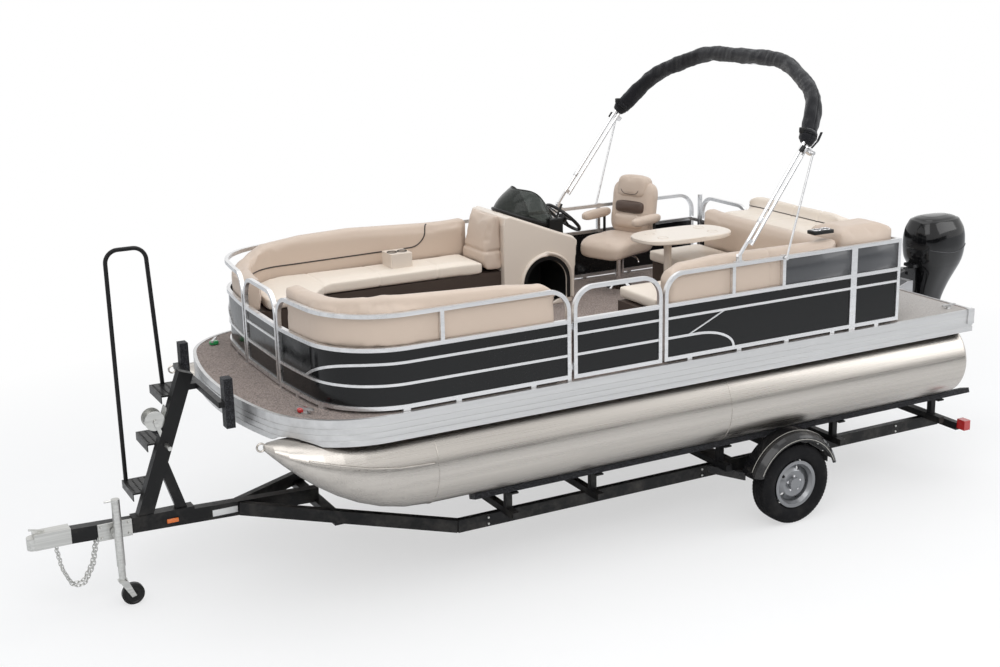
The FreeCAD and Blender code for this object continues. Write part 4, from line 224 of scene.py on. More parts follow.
def revolve(name: str, profile: Sequence[Tuple[float, float]], centre: Sequence[float],
            axis: str = "Y", steps: int = 64) -> bpy.types.Object:
    """Turns a closed (radius, height) profile a full turn about an axis through a centre.

    Args:
        name: The piece's name.
        profile: Radius and height along the axis of each profile point.
        centre: Where height zero of the axis lies.
        axis: The turning axis, X, Y or Z.
        steps: Points round the turn.

    Returns:
        The new object.
    """
    outline = np.asarray(profile, float)
    turn = around(steps)
    flat_a = np.outer(np.cos(turn), outline[:, 0])
    flat_b = np.outer(np.sin(turn), outline[:, 0])
    tall = np.broadcast_to(outline[:, 1], flat_a.shape)
    order = {"X": (tall, flat_a, flat_b), "Y": (flat_a, tall, flat_b), "Z": (flat_a, flat_b, tall)}
    points = np.stack(order[axis], axis=2).reshape(-1, 3) + np.asarray(centre, float)
    return make_mesh(name, points, grid_faces(steps, len(outline), True, True))


def rounded_block(name: str, low: Sequence[float], high: Sequence[float], edge: float,
                  segments: int = 3) -> bpy.types.Object:
    """A block between two corners with bevelled edges."""
    a, b = np.asarray(low, float), np.asarray(high, float)
    pick = np.array([[i, j, k] for i in (0, 1) for j in (0, 1) for k in (0, 1)], float)
    points = a + pick * (b - a)
    faces = [(0, 1, 3, 2), (4, 6, 7, 5), (0, 4, 5, 1), (2, 3, 7, 6), (0, 2, 6, 4), (1, 5, 7, 3)]
    piece = make_mesh(name, points, faces)
    modify(piece, "BEVEL", width=edge, segments=segments, limit_method="NONE")
    apply_modifiers(piece)
    return piece


def joined(name: str, pieces: Sequence[bpy.types.Object]) -> bpy.types.Object:
    """Several pieces as one mesh under one name."""
    work = bmesh.new()
    for piece in pieces:
        work.from_mesh(piece.data)
        bpy.data.objects.remove(piece)
    mesh = bpy.data.meshes.new(name)
    work.to_mesh(mesh)
    work.free()
    return linked(name, mesh)


def filleted(points: Sequence[Sequence[float]], radius: float, steps: int = 9) -> Array:
    """A path whose inner corners are rounded by arcs.

    Each corner gets an arc that touches both of its sides; where the sides are short the
    radius is cut to what they leave.

    Args:
        points: The path's corners.
        radius: The wanted radius.
        steps: Points on each arc.

    Returns:
        The rounded path.
    """
    corners = np.asarray(points, float)
    parts = [corners[:1]]
    for before, corner, after in zip(corners[:-2], corners[1:-1], corners[2:]):
        a, b = before - corner, after - corner
        reach = 0.49 * min(np.linalg.norm(a), np.linalg.norm(b))
        a, b = a / np.linalg.norm(a), b / np.linalg.norm(b)
        half = math.acos(float(np.clip(a @ b, -1, 1))) / 2
        sweep = math.pi - 2 * half
        if sweep < 0.02:
            parts.append(corner[None])
            continue
        size = min(radius, reach * math.tan(half))
        centre = corner + (a + b) / np.linalg.norm(a + b) * size / math.sin(half)
        u = (corner + a * size / math.tan(half) - centre) / size
        w = (corner + b * size / math.tan(half) - centre) / size
        v = (w - u * math.cos(sweep)) / math.sin(sweep)
        turn = np.linspace(0, sweep, steps)[:, None]
        parts.append(centre + size * (np.cos(turn) * u + np.sin(turn) * v))
    parts.append(corners[-1:])
    return np.concatenate(parts)


def resampled(path: Array, spacing: float) -> Array:
    """The same path with points an even distance apart."""
    run = run_along(path)
    count = max(2, int(round(run[-1] / spacing)) + 1)
    even = np.linspace(0, run[-1], count)
    return np.stack([np.interp(even, run, path[:, k]) for k in range(3)], axis=1)


def signed_power(value: Array, power: float) -> Array:
    """A power that keeps the sign."""
    return np.sign(value) * np.abs(value) ** power


def pillow(name: str, centre: Sequence[float], size: Sequence[float],
           power: float = 0.4) -> bpy.types.Object:
    """A closed pillow: each half axis times a power of the cosines and sines of two angles.

    Args:
        name: The piece's name.
        centre: The middle of the form.
        size: Full length, width and height.
        power: Small for a block with soft edges, 1 for an ellipsoid.

    Returns:
        The new object.
    """
    rise = np.linspace(-math.pi / 2, math.pi / 2, 41)[:, None]
    turn = around(80)[None, :]
    flat = np.abs(np.cos(rise)) ** power
    points = np.stack([flat * signed_power(np.cos(turn), power) * size[0] / 2,
                       flat * signed_power(np.sin(turn), power) * size[1] / 2,
                       signed_power(np.sin(rise), power) * size[2] / 2 + 0 * turn], axis=2)
    return make_mesh(name, points + np.asarray(centre, float), grid_faces(41, 80, False, True))


def slab(name: str, outline: Array, low: float, high: float, edge: float = 0.004
         ) -> bpy.types.Object:
    """A flat plate from a convex outline in X and Y, with its rims drawn in by an edge."""
    middle = outline.mean(axis=0)
    reach = np.linalg.norm(outline - middle, axis=1).mean()
    rings = []
    for inset, z in ((edge, low), (0.0, low + edge), (0.0, high - edge), (edge, high)):
        ring = middle + (outline - middle) * (1 - inset / reach)
        rings.append(np.column_stack([ring, np.full(len(ring), z)]))
    return make_mesh(name, np.concatenate(rings), capped_faces(4, len(outline)), smooth=False)


def studs(name: str, places: Sequence[Sequence[float]], axis: str, radius: float, height: float,
          sides: int = 6) -> bpy.types.Object:
    """Small heads standing on many places at once, each a short prism with a domed rim.

    Args:
        name: The piece's name.
        places: The foot of each head.
        axis: The way they stand, X, Y or Z, with a minus in front for the other way.
        radius: Each head's radius.
        height: Each head's height.
        sides: Sides of the prism.

    Returns:
        One object with all the heads.
    """
    turn = around(sides)
    rings = [np.stack([np.cos(turn) * r, np.sin(turn) * r, np.full(sides, h)], axis=1)
             for r, h in ((radius, -0.002), (radius, height * 0.7), (radius * 0.8, height))]
    one = np.concatenate(rings)
    if axis[0] == "-":
        one = one * [1, 1, -1]
    turned = {"X": one[:, [2, 0, 1]], "Y": one[:, [0, 2, 1]], "Z": one}[axis[-1]]
    spots = np.asarray(places, float).reshape(-1, 3)
    points = (spots[:, None, :] + turned[None]).reshape(-1, 3)
    single = grid_faces(3, sides, False, True)
    caps = np.array([range(sides), range(2 * sides, 3 * sides)])
    starts = np.arange(len(spots))[:, None, None] * len(one)
    faces = (single[None] + starts).reshape(-1, 4).tolist()
    faces += (caps[None] + starts).reshape(-1, sides).tolist()
    return make_mesh(name, points, faces, smooth=False)


def ellipse_path(centre: Sequence[float], a: Sequence[float], b: Sequence[float],
                 steps: int = 40) -> Array:
    """A closed ellipse about a centre, with its two half axes as vectors."""
    turn = around(steps)[:, None]
    return (np.asarray(centre, float) + np.cos(turn) * np.asarray(a, float)
            + np.sin(turn) * np.asarray(b, float))


def laid_on(piece: bpy.types.Object, path: Array, lift: float) -> Array:
    """The points of a piece's surface nearest to a path, raised a little off it."""
    tree = BVHTree.FromPolygons([v.co.copy() for v in piece.data.vertices],
                                [tuple(p.vertices) for p in piece.data.polygons])
    found = [tree.find_nearest(Vector(point)) for point in path]
    return np.array([list(hit[0] + hit[1] * lift) for hit in found])


def soft_copy(name: str, node: str, voxel: float, rounds: int) -> bpy.types.Object:
    """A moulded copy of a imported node: even small faces with the sharp edges rubbed round."""
    piece = linked(name, frame["nodes"][node].data.copy())
    modify(piece, "REMESH", mode="VOXEL", voxel_size=voxel)
    modify(piece, "SMOOTH", iterations=rounds, factor=0.5)
    apply_modifiers(piece)
    piece.data.materials.clear()
    shade(piece.data)
    return piece


def thicken(piece: bpy.types.Object, depth: float) -> None:
    """Gives an open surface a thickness."""
    modify(piece, "SOLIDIFY", thickness=depth, offset=0.0)
    apply_modifiers(piece)


def apply_modifiers(piece: bpy.types.Object) -> None:
    """Bakes a piece's modifiers into its mesh."""
    bpy.context.view_layer.update()
    graph = bpy.context.evaluated_depsgraph_get()
    mesh = bpy.data.meshes.new_from_object(piece.evaluated_get(graph))
    piece.modifiers.clear()
    piece.data = mesh


def vertex_array(piece: bpy.types.Object) -> Array:
    """The piece's vertices as an array."""
    points = np.zeros(len(piece.data.vertices) * 3, np.float32)
    piece.data.vertices.foreach_get("co", points)
    return points.reshape(-1, 3).astype(float)


def normal_array(piece: bpy.types.Object) -> Array:
    """The piece's vertex normals as an array."""
    normals = np.zeros(len(piece.data.vertices) * 3, np.float32)
    piece.data.vertex_normals.foreach_get("vector", normals)
    return normals.reshape(-1, 3).astype(float)


def set_vertices(piece: bpy.types.Object, points: Array) -> None:
    """Writes an array back to the piece's vertices."""
    piece.data.vertices.foreach_set("co", points.astype(np.float32).ravel())
    piece.data.update()


def leaned(points: Array, degrees: float) -> Array:
    """Points turned about the Y axis, so that what lay along X rises by the angle."""
    angle = math.radians(degrees)
    x = points[..., 0] * math.cos(angle) - points[..., 2] * math.sin(angle)
    z = points[..., 0] * math.sin(angle) + points[..., 2] * math.cos(angle)
    return np.stack([x, points[..., 1], z], axis=-1)


# Shader node groups

class NodeKit:
    """Short ways to place nodes in one tree."""

    def __init__(self, tree: bpy.types.NodeTree) -> None:
        """Starts a kit for a tree."""
        self.tree = tree

    def add(self, kind: str, **inputs: object) -> bpy.types.Node:
        """Adds a node and sets or links its inputs by name.

        Args:
            kind: The node's type name.
            inputs: Socket names with spaces written as underscores; a node output is linked.

        Returns:
            The new node.
        """
        node = self.tree.nodes.new(kind)
        self.fill(node, **inputs)
        return node

    def fill(self, node: bpy.types.Node, **inputs: object) -> None:
        """Sets or links inputs of a node by name."""
        for key, value in inputs.items():
            name = key.replace("_", " ")
            self.put(next(s for s in node.inputs if s.name == name and s.enabled), value)

    def put(self, socket: bpy.types.NodeSocket, value: object) -> None:
        """Links a node output to a socket, or sets the socket to a value or a colour."""
        if isinstance(value, bpy.types.NodeSocket):
            self.tree.links.new(value, socket)
        elif socket.type == "RGBA":
            socket.default_value = (*value[:3], 1.0)
        else:
            socket.default_value = value

    def group(self, tree: bpy.types.NodeTree, **inputs: object) -> bpy.types.Node:
        """Adds a node that shows a node group."""
        node = self.tree.nodes.new("ShaderNodeGroup")
        node.node_tree = tree
        self.fill(node, **inputs)
        return node

    def noise(self, vector: bpy.types.NodeSocket, scale: float, detail: float = 3.0,
              roughness: float = 0.55) -> bpy.types.NodeSocket:
        """A noise value at a scale."""
        node = self.add("ShaderNodeTexNoise", Vector=vector, Scale=scale, Detail=detail,
                        Roughness=roughness)
        return node.outputs[0]

    def stretch(self, vector: bpy.types.NodeSocket, scale: Sequence[float]) -> bpy.types.NodeSocket:
        """Coordinates scaled by a different amount along each axis."""
        return self.add("ShaderNodeMapping", Vector=vector, Scale=scale).outputs[0]

    def ramp(self, factor: bpy.types.NodeSocket, low: float, high: float,
             low_to: float = 0.0, high_to: float = 1.0) -> bpy.types.NodeSocket:
        """A value carried from one range to another, held at the ends."""
        return self.add("ShaderNodeMapRange", Value=factor, From_Min=low, From_Max=high,
                        To_Min=low_to, To_Max=high_to).outputs[0]

    def mix(self, factor: object, a: object, b: object) -> bpy.types.NodeSocket:
        """A colour between two colours."""
        node = self.tree.nodes.new("ShaderNodeMix")
        node.data_type = "RGBA"
        for number, value in ((0, factor), (6, a), (7, b)):
            self.put(node.inputs[number], value)
        return node.outputs[2]

    def math(self, operation: str, a: object, b: object = 0.0) -> bpy.types.NodeSocket:
        """One arithmetic step on two values."""
        node = self.tree.nodes.new("ShaderNodeMath")
        node.operation = operation
        for number, value in enumerate((a, b)):
            self.put(node.inputs[number], value)
        return node.outputs[0]

    def blend(self, share: bpy.types.NodeSocket, a: bpy.types.Node, b: bpy.types.Node
              ) -> bpy.types.NodeSocket:
        """A shader between the shaders of two nodes."""
        node = self.tree.nodes.new("ShaderNodeMixShader")
        for number, value in enumerate((share, a.outputs[0], b.outputs[0])):
            self.put(node.inputs[number], value)
        return node.outputs[0]


def new_group(name: str, inputs: Dict[str, float], outputs: Sequence[str]
              ) -> Tuple[NodeKit, bpy.types.Node, bpy.types.Node]:
    """Starts a node group with a vector input, value inputs and value outputs."""
    tree = bpy.data.node_groups.new(name, "ShaderNodeTree")
    tree.interface.new_socket("Vector", in_out="INPUT", socket_type="NodeSocketVector")
    for key, value in inputs.items():
        socket = tree.interface.new_socket(key, in_out="INPUT", socket_type="NodeSocketFloat")
        socket.default_value = value
    for key in outputs:
        tree.interface.new_socket(key, in_out="OUTPUT", socket_type="NodeSocketFloat")
    return NodeKit(tree), tree.nodes.new("NodeGroupInput"), tree.nodes.new("NodeGroupOutput")


def new_material(name: str) -> Tuple[bpy.types.Material, NodeKit, bpy.types.Node,
                                     bpy.types.NodeSocket]:
    """A material with its node kit, its shader and its coordinates."""
    material = bpy.data.materials.new(name)
    material.use_nodes = True
    kit = NodeKit(material.node_tree)
    shader = material.node_tree.nodes["Principled BSDF"]
    return material, kit, shader, kit.add("ShaderNodeTexCoord").outputs["Object"]


class Effects:
    """The effects that several finishes share, each one node group."""

    def __init__(self) -> None:
        """Builds every group once."""
        self.grain = self.build_grain()
        self.brushing = self.build_brushing()
        self.weave = self.build_weave()
        self.dust = self.build_dust()
        self.pile = self.build_pile()

    @staticmethod
    def build_grain() -> bpy.types.NodeTree:
        """Fine pebbled grain of vinyl or moulded plastic, with a slow colour drift."""
        kit, start, end = new_group("surface_grain", {"Scale": 300.0}, ("Height", "Drift"))
        cells = kit.add("ShaderNodeTexVoronoi", Vector=start.outputs["Vector"],
                        Scale=start.outputs["Scale"])
        cells.feature = "SMOOTH_F1"
        fine = kit.noise(start.outputs["Vector"], 900.0, 2.0)
        kit.fill(end, Height=kit.math("ADD", cells.outputs[0], kit.math("MULTIPLY", fine, 0.4)),
                 Drift=kit.noise(start.outputs["Vector"], 2.2, 4.0))
        return kit.tree

    @staticmethod
    def build_brushing() -> bpy.types.NodeTree:
        """Streaks of brushed or rolled metal, long along X and fine round the section."""
        kit, start, end = new_group("brushed_streaks", {"Fineness": 1.0}, ("Height", "Streak"))
        scaled = kit.add("ShaderNodeVectorMath")
        scaled.operation = "SCALE"
        kit.put(scaled.inputs[0], start.outputs["Vector"])
        kit.put(scaled.inputs["Scale"], start.outputs["Fineness"])
        fine = kit.noise(kit.stretch(scaled.outputs[0], (2.0, 260.0, 260.0)), 1.0, 4.0)
        broad = kit.noise(kit.stretch(scaled.outputs[0], (0.35, 16.0, 16.0)), 1.0, 3.0)
        kit.fill(end, Height=kit.math("ADD", fine, kit.math("MULTIPLY", broad, 0.6)),
                 Streak=broad)
        return kit.tree

    @staticmethod
    def build_weave() -> bpy.types.NodeTree:
        """Crossed threads of canvas or webbing."""
        kit, start, end = new_group("crossed_threads", {"Threads": 900.0}, ("Height", "Fade"))
        waves = []
        for direction in ("X", "Z"):
            wave = kit.add("ShaderNodeTexWave", Vector=start.outputs["Vector"],
                           Scale=start.outputs["Threads"], Distortion=0.6)
            wave.bands_direction = direction
            waves.append(wave.outputs[1])
        kit.fill(end, Height=kit.math("MAXIMUM", waves[0], waves[1]),
                 Fade=kit.noise(start.outputs["Vector"], 6.0, 5.0))
        return kit.tree

    @staticmethod
    def build_dust() -> bpy.types.NodeTree:
        """Light dust and handling marks, more of it low down."""
        kit, start, end = new_group("dust_marks", {"Reach": 0.6}, ("Mask", "Smear"))
        split = kit.add("ShaderNodeSeparateXYZ", Vector=start.outputs["Vector"])
        low = kit.ramp(split.outputs[2], 0.9, 0.0)
        patch = kit.ramp(kit.noise(start.outputs["Vector"], 7.0, 6.0, 0.7), 0.45, 0.75)
        mask = kit.math("MULTIPLY", kit.math("MULTIPLY", patch, low), start.outputs["Reach"])
        kit.fill(end, Mask=mask, Smear=kit.noise(start.outputs["Vector"], 24.0, 3.0))
        return kit.tree

    @staticmethod
    def build_pile() -> bpy.types.NodeTree:
        """Tufts of cut-pile or looped carpet with flecks."""
        kit, start, end = new_group("carpet_tufts", {"Tufts": 420.0},
                                    ("Height", "Fleck", "Patch"))
        tufts = kit.add("ShaderNodeTexVoronoi", Vector=start.outputs["Vector"],
                        Scale=start.outputs["Tufts"])
        fleck = kit.add("ShaderNodeTexVoronoi", Vector=start.outputs["Vector"], Scale=190.0)
        tint = kit.add("ShaderNodeSeparateColor", Color=fleck.outputs["Color"])
        kit.fill(end, Height=tufts.outputs[0], Fleck=tint.outputs[0],
                 Patch=kit.noise(start.outputs["Vector"], 3.0, 5.0))
        return kit.tree


# Finishes

@dataclass(frozen=True)
class Finish:
    """A plain painted or moulded surface; the others build on it."""

    name: str
    colour: Colour
    roughness: float = 0.4
    metallic: float = 0.0
    coat: float = 0.0
    gloss: float = 0.5
    bump: float = 0.0
    spread: float = 0.08

    def build(self, effects: Effects) -> bpy.types.Material:
        """Makes the material: the finish's plain values, then what its kind paints."""
        material, kit, shader, where = new_material(self.name)
        kit.fill(shader, Metallic=self.metallic, Roughness=self.roughness, Coat_Weight=self.coat,
                 Specular_IOR_Level=self.gloss, Coat_Roughness=0.04)
        self.paint(effects, kit, shader, where)
        return material

    def shaded(self, share: float) -> Colour:
        """The finish's colour made lighter or darker by a share."""
        return tuple(min(1.0, c * (1 + share)) for c in self.colour)

    def toned(self, kit: NodeKit, factor: bpy.types.NodeSocket) -> bpy.types.NodeSocket:
        """A colour that drifts from the finish's darker shade to its lighter one."""
        return kit.mix(factor, self.shaded(-self.spread), self.shaded(self.spread))

    def bumped(self, kit: NodeKit, shader: bpy.types.Node, height: bpy.types.NodeSocket,
               distance: float) -> None:
        """Feeds a height to the shader's normal."""
        bump = kit.add("ShaderNodeBump", Height=height, Strength=self.bump, Distance=distance)
        kit.fill(shader, Normal=bump.outputs[0])

    def paint(self, effects: Effects, kit: NodeKit, shader: bpy.types.Node,
              where: bpy.types.NodeSocket) -> None:
        """A slow drift of the colour, and the grain where there is a bump."""
        grain = kit.group(effects.grain, Vector=where, Scale=260.0)
        kit.fill(shader, Base_Color=self.toned(kit, grain.outputs["Drift"]))
        if self.bump:
            self.bumped(kit, shader, grain.outputs["Height"], 0.0006)


@dataclass(frozen=True)
class Vinyl(Finish):
    """Grained upholstery vinyl with a soft sheen."""

    def paint(self, effects: Effects, kit: NodeKit, shader: bpy.types.Node,
              where: bpy.types.NodeSocket) -> None:
        """Grain and wrinkles, a slow drift of the colour and a sheen."""
        grain = kit.group(effects.grain, Vector=where, Scale=420.0)
        tone = self.toned(kit, grain.outputs["Drift"])
        slow = kit.ramp(kit.noise(where, 9.0, 4.0), 0.3, 0.75, 0.0, 0.5)
        rough = kit.ramp(kit.noise(where, 30.0, 4.0), 0.3, 0.7, self.roughness - 0.07,
                         self.roughness + 0.09)
        kit.fill(shader, Base_Color=kit.mix(slow, tone, self.shaded(-0.5 * self.spread)),
                 Roughness=rough, Sheen_Weight=0.12)
        wrinkle = kit.noise(kit.stretch(where, (3.0, 3.0, 9.0)), 3.0, 5.0)
        height = kit.math("ADD", kit.math("MULTIPLY", grain.outputs["Height"], 0.22), wrinkle)
        self.bumped(kit, shader, height, 0.006)


@dataclass(frozen=True)
class BrushedMetal(Finish):
    """Rolled or brushed metal with streaks along X."""

    fineness: float = 1.0

    def paint(self, effects: Effects, kit: NodeKit, shader: bpy.types.Node,
              where: bpy.types.NodeSocket) -> None:
        """Streaks in the colour, the roughness and the height."""
        streaks = kit.group(effects.brushing, Vector=where, Fineness=self.fineness)
        tone = self.toned(kit, kit.ramp(streaks.outputs["Streak"], 0.3, 0.7))
        rough = kit.ramp(streaks.outputs["Height"], 0.4, 1.0, self.roughness - 0.06,
                         self.roughness + 0.1)
        kit.fill(shader, Base_Color=tone, Roughness=rough)
        self.bumped(kit, shader, streaks.outputs["Height"], 0.0012)


@dataclass(frozen=True)
class Carpet(Finish):
    """Carpet pile with flecks of a second colour."""

    fleck: Colour = (0.1, 0.1, 0.1)
    tufts: float = 420.0

    def paint(self, effects: Effects, kit: NodeKit, shader: bpy.types.Node,
              where: bpy.types.NodeSocket) -> None:
        """Tufts with flecks among them."""
        pile = kit.group(effects.pile, Vector=where, Tufts=self.tufts)
        base = self.toned(kit, pile.outputs["Patch"])
        specks = kit.ramp(pile.outputs["Fleck"], 0.55, 0.75)
        kit.fill(shader, Base_Color=kit.mix(specks, base, self.fleck), Sheen_Weight=0.2)
        self.bumped(kit, shader, pile.outputs["Height"], 0.003)


@dataclass(frozen=True)
class Canvas(Finish):
    """Woven canvas or webbing."""

    threads: float = 700.0

    def paint(self, effects: Effects, kit: NodeKit, shader: bpy.types.Node,
              where: bpy.types.NodeSocket) -> None:
        """Crossed threads with a faded colour."""
        weave = kit.group(effects.weave, Vector=where, Threads=self.threads)
        kit.fill(shader, Base_Color=self.toned(kit, weave.outputs["Fade"]), Sheen_Weight=0.3)
        self.bumped(kit, shader, weave.outputs["Height"], 0.0008)


@dataclass(frozen=True)
class Enamel(Finish):
    """Glossy paint or gel with faint ripple and dust low down."""

    dust: float = 0.4
    dirt: Colour = (0.32, 0.29, 0.25)

    def paint(self, effects: Effects, kit: NodeKit, shader: bpy.types.Node,
              where: bpy.types.NodeSocket) -> None:
        """A slow ripple, and dust that thins out with height."""
        marks = kit.group(effects.dust, Vector=where, Reach=self.dust)
        tone = self.toned(kit, marks.outputs["Smear"])
        rough = kit.ramp(marks.outputs["Smear"], 0.35, 0.75, self.roughness,
                         self.roughness + 0.12)
        kit.fill(shader, Base_Color=kit.mix(marks.outputs["Mask"], tone, self.dirt),
                 Roughness=rough)
        self.bumped(kit, shader, kit.noise(where, 5.0, 1.0), 0.004)


@dataclass(frozen=True)
class Glass(Finish):
    """Tinted clear acrylic."""

    def paint(self, effects: Effects, kit: NodeKit, shader: bpy.types.Node,
              where: bpy.types.NodeSocket) -> None:
        """A faint smear in the tint and the roughness."""
        smear = kit.noise(where, 40.0, 3.0)
        rough = kit.ramp(smear, 0.3, 0.8, self.roughness, self.roughness + 0.1)
        kit.fill(shader, Base_Color=kit.mix(smear, self.shaded(-0.1), self.shaded(0.1)),
                 Roughness=rough, Transmission_Weight=0.75, IOR=1.25)


class Palette:
    """Every finish of the boat and trailer, built once and handed out by name."""

    FINISHES: Tuple[Finish, ...] = (
        BrushedMetal("pontoon_metal", (0.50, 0.47, 0.435), 0.25, 1.0, bump=0.18, spread=0.1),
        BrushedMetal("frame_metal", (0.45, 0.45, 0.46), 0.4, 1.0, bump=0.2),
        BrushedMetal("trim_metal", (0.62, 0.62, 0.62), 0.36, 1.0, bump=0.12, fineness=1.4),
        BrushedMetal("rail_metal", (0.76, 0.76, 0.765), 0.26, 1.0, bump=0.08, fineness=2.0),
        Carpet("carpet", (0.39, 0.305, 0.265), 0.95, bump=0.9, spread=0.12,
               fleck=(0.14, 0.11, 0.095)),
        Enamel("dark_panel", (0.008, 0.0083, 0.0087), 0.1, gloss=0.28, bump=0.05, dust=0.05),
        Enamel("grey_panel", (0.055, 0.057, 0.062), 0.3, coat=0.3, bump=0.05, dust=0.05),
        Finish("seat_base", (0.05, 0.034, 0.026), 0.5, bump=0.4),
        Vinyl("tan_vinyl", (0.59, 0.475, 0.385), 0.46, bump=0.22, spread=0.04),
        Vinyl("pale_vinyl", (0.78, 0.69, 0.59), 0.44, bump=0.22, spread=0.04),
        Vinyl("brown_vinyl", (0.075, 0.045, 0.032), 0.42, bump=0.3),
        Vinyl("piping", (0.03, 0.02, 0.016), 0.4, bump=0.1),
        Finish("console_beige", (0.74, 0.65, 0.56), 0.3, coat=0.25, bump=0.12, spread=0.04),
        Finish("black_plastic", (0.01, 0.01, 0.01), 0.34, gloss=0.3, bump=0.3, spread=0.3),
        Glass("smoked_glass", (0.10, 0.11, 0.10), 0.04),
        BrushedMetal("chrome", (0.75, 0.75, 0.76), 0.09, 1.0, bump=0.02),
        Canvas("canvas", (0.010, 0.010, 0.012), 0.85, gloss=0.12, bump=0.5, spread=0.3),
        Enamel("motor_black", (0.008, 0.008, 0.009), 0.2, coat=0.2, gloss=0.3, bump=0.05, dust=0.1),
        Enamel("cowl_black", (0.005, 0.005, 0.0055), 0.08, coat=0.25, gloss=0.3, bump=0.02,
               dust=0.02),
        Enamel("trailer_paint", (0.009, 0.009, 0.0095), 0.3, gloss=0.22, bump=0.1, dust=0.25),
        Carpet("bunk_carpet", (0.015, 0.015, 0.017), 0.95, gloss=0.1, bump=0.8,
               fleck=(0.045, 0.045, 0.05), tufts=300.0),
        Enamel("fender_gloss", (0.009, 0.009, 0.01), 0.12, coat=0.3, gloss=0.3, bump=0.03,
               dust=0.2),
        Finish("red_lens", (0.45, 0.012, 0.012), 0.12, coat=0.8, bump=0.2),
        Finish("amber_lens", (0.75, 0.16, 0.01), 0.15, coat=0.8, bump=0.2),
        BrushedMetal("zinc", (0.58, 0.58, 0.56), 0.32, 1.0, bump=0.25, fineness=4.0, spread=0.16),
        Enamel("tyre", (0.008, 0.008, 0.009), 0.62, gloss=0.12, bump=0.1, dust=0.06),
        Finish("rim_silver", (0.24, 0.245, 0.255), 0.28, 0.75, coat=0.3, bump=0.08),
        Finish("dark_steel", (0.1, 0.1, 0.105), 0.35, 0.9, bump=0.2),
        # Painted sheen: this lighter copy of the carpet lies on the stern deck in place of the sheen
        # that the carpet shows there at a grazing angle.
        Carpet("carpet_painted_sheen", (0.47, 0.44, 0.41), 0.95, bump=0.6, spread=0.06,
               fleck=(0.36, 0.33, 0.31)),
        Finish("table_beige", (0.74, 0.66, 0.57), 0.3, coat=0.2, bump=0.08, spread=0.03),
        Finish("green_lens", (0.012, 0.3, 0.08), 0.15, coat=0.8, bump=0.2),
        Finish("label_white", (0.75, 0.75, 0.74), 0.4, bump=0.05, spread=0.03),
        Finish("stripe_pale", (0.5, 0.48, 0.43), 0.35, spread=0.03))

    def __init__(self) -> None:
        """Builds the shared effects and every finish."""
        effects = Effects()
        self.materials = {finish.name: finish.build(effects) for finish in self.FINISHES}

    def dress(self, piece: bpy.types.Object, name: str) -> bpy.types.Object:
        """Gives a piece one finish in all its slots."""
        piece.data.materials.clear()
        piece.data.materials.append(self.materials[name])
        return piece

    def dress_nodes(self, slots: Dict[str, str]) -> None:
        """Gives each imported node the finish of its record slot."""
        for node, piece in frame["nodes"].items():
            self.dress(piece, slots[node])
            LOG.info("dressed node %s as %s", node, slots[node])

    def ready(self, piece: bpy.types.Object, name: str, body: Body,
              slot: Optional[str] = None) -> bpy.types.Object:
        """Finishes a new piece: its material and its body.

        Args:
            piece: The piece, in place.
            name: The finish.
            body: The body that it rides on.
            slot: Not used.

        Returns:
            The same piece.
        """
        self.dress(piece, name)
        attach(piece, body.value)
        LOG.info("built %s, %d faces", piece.name, len(piece.data.polygons))
        return piece


# Studio

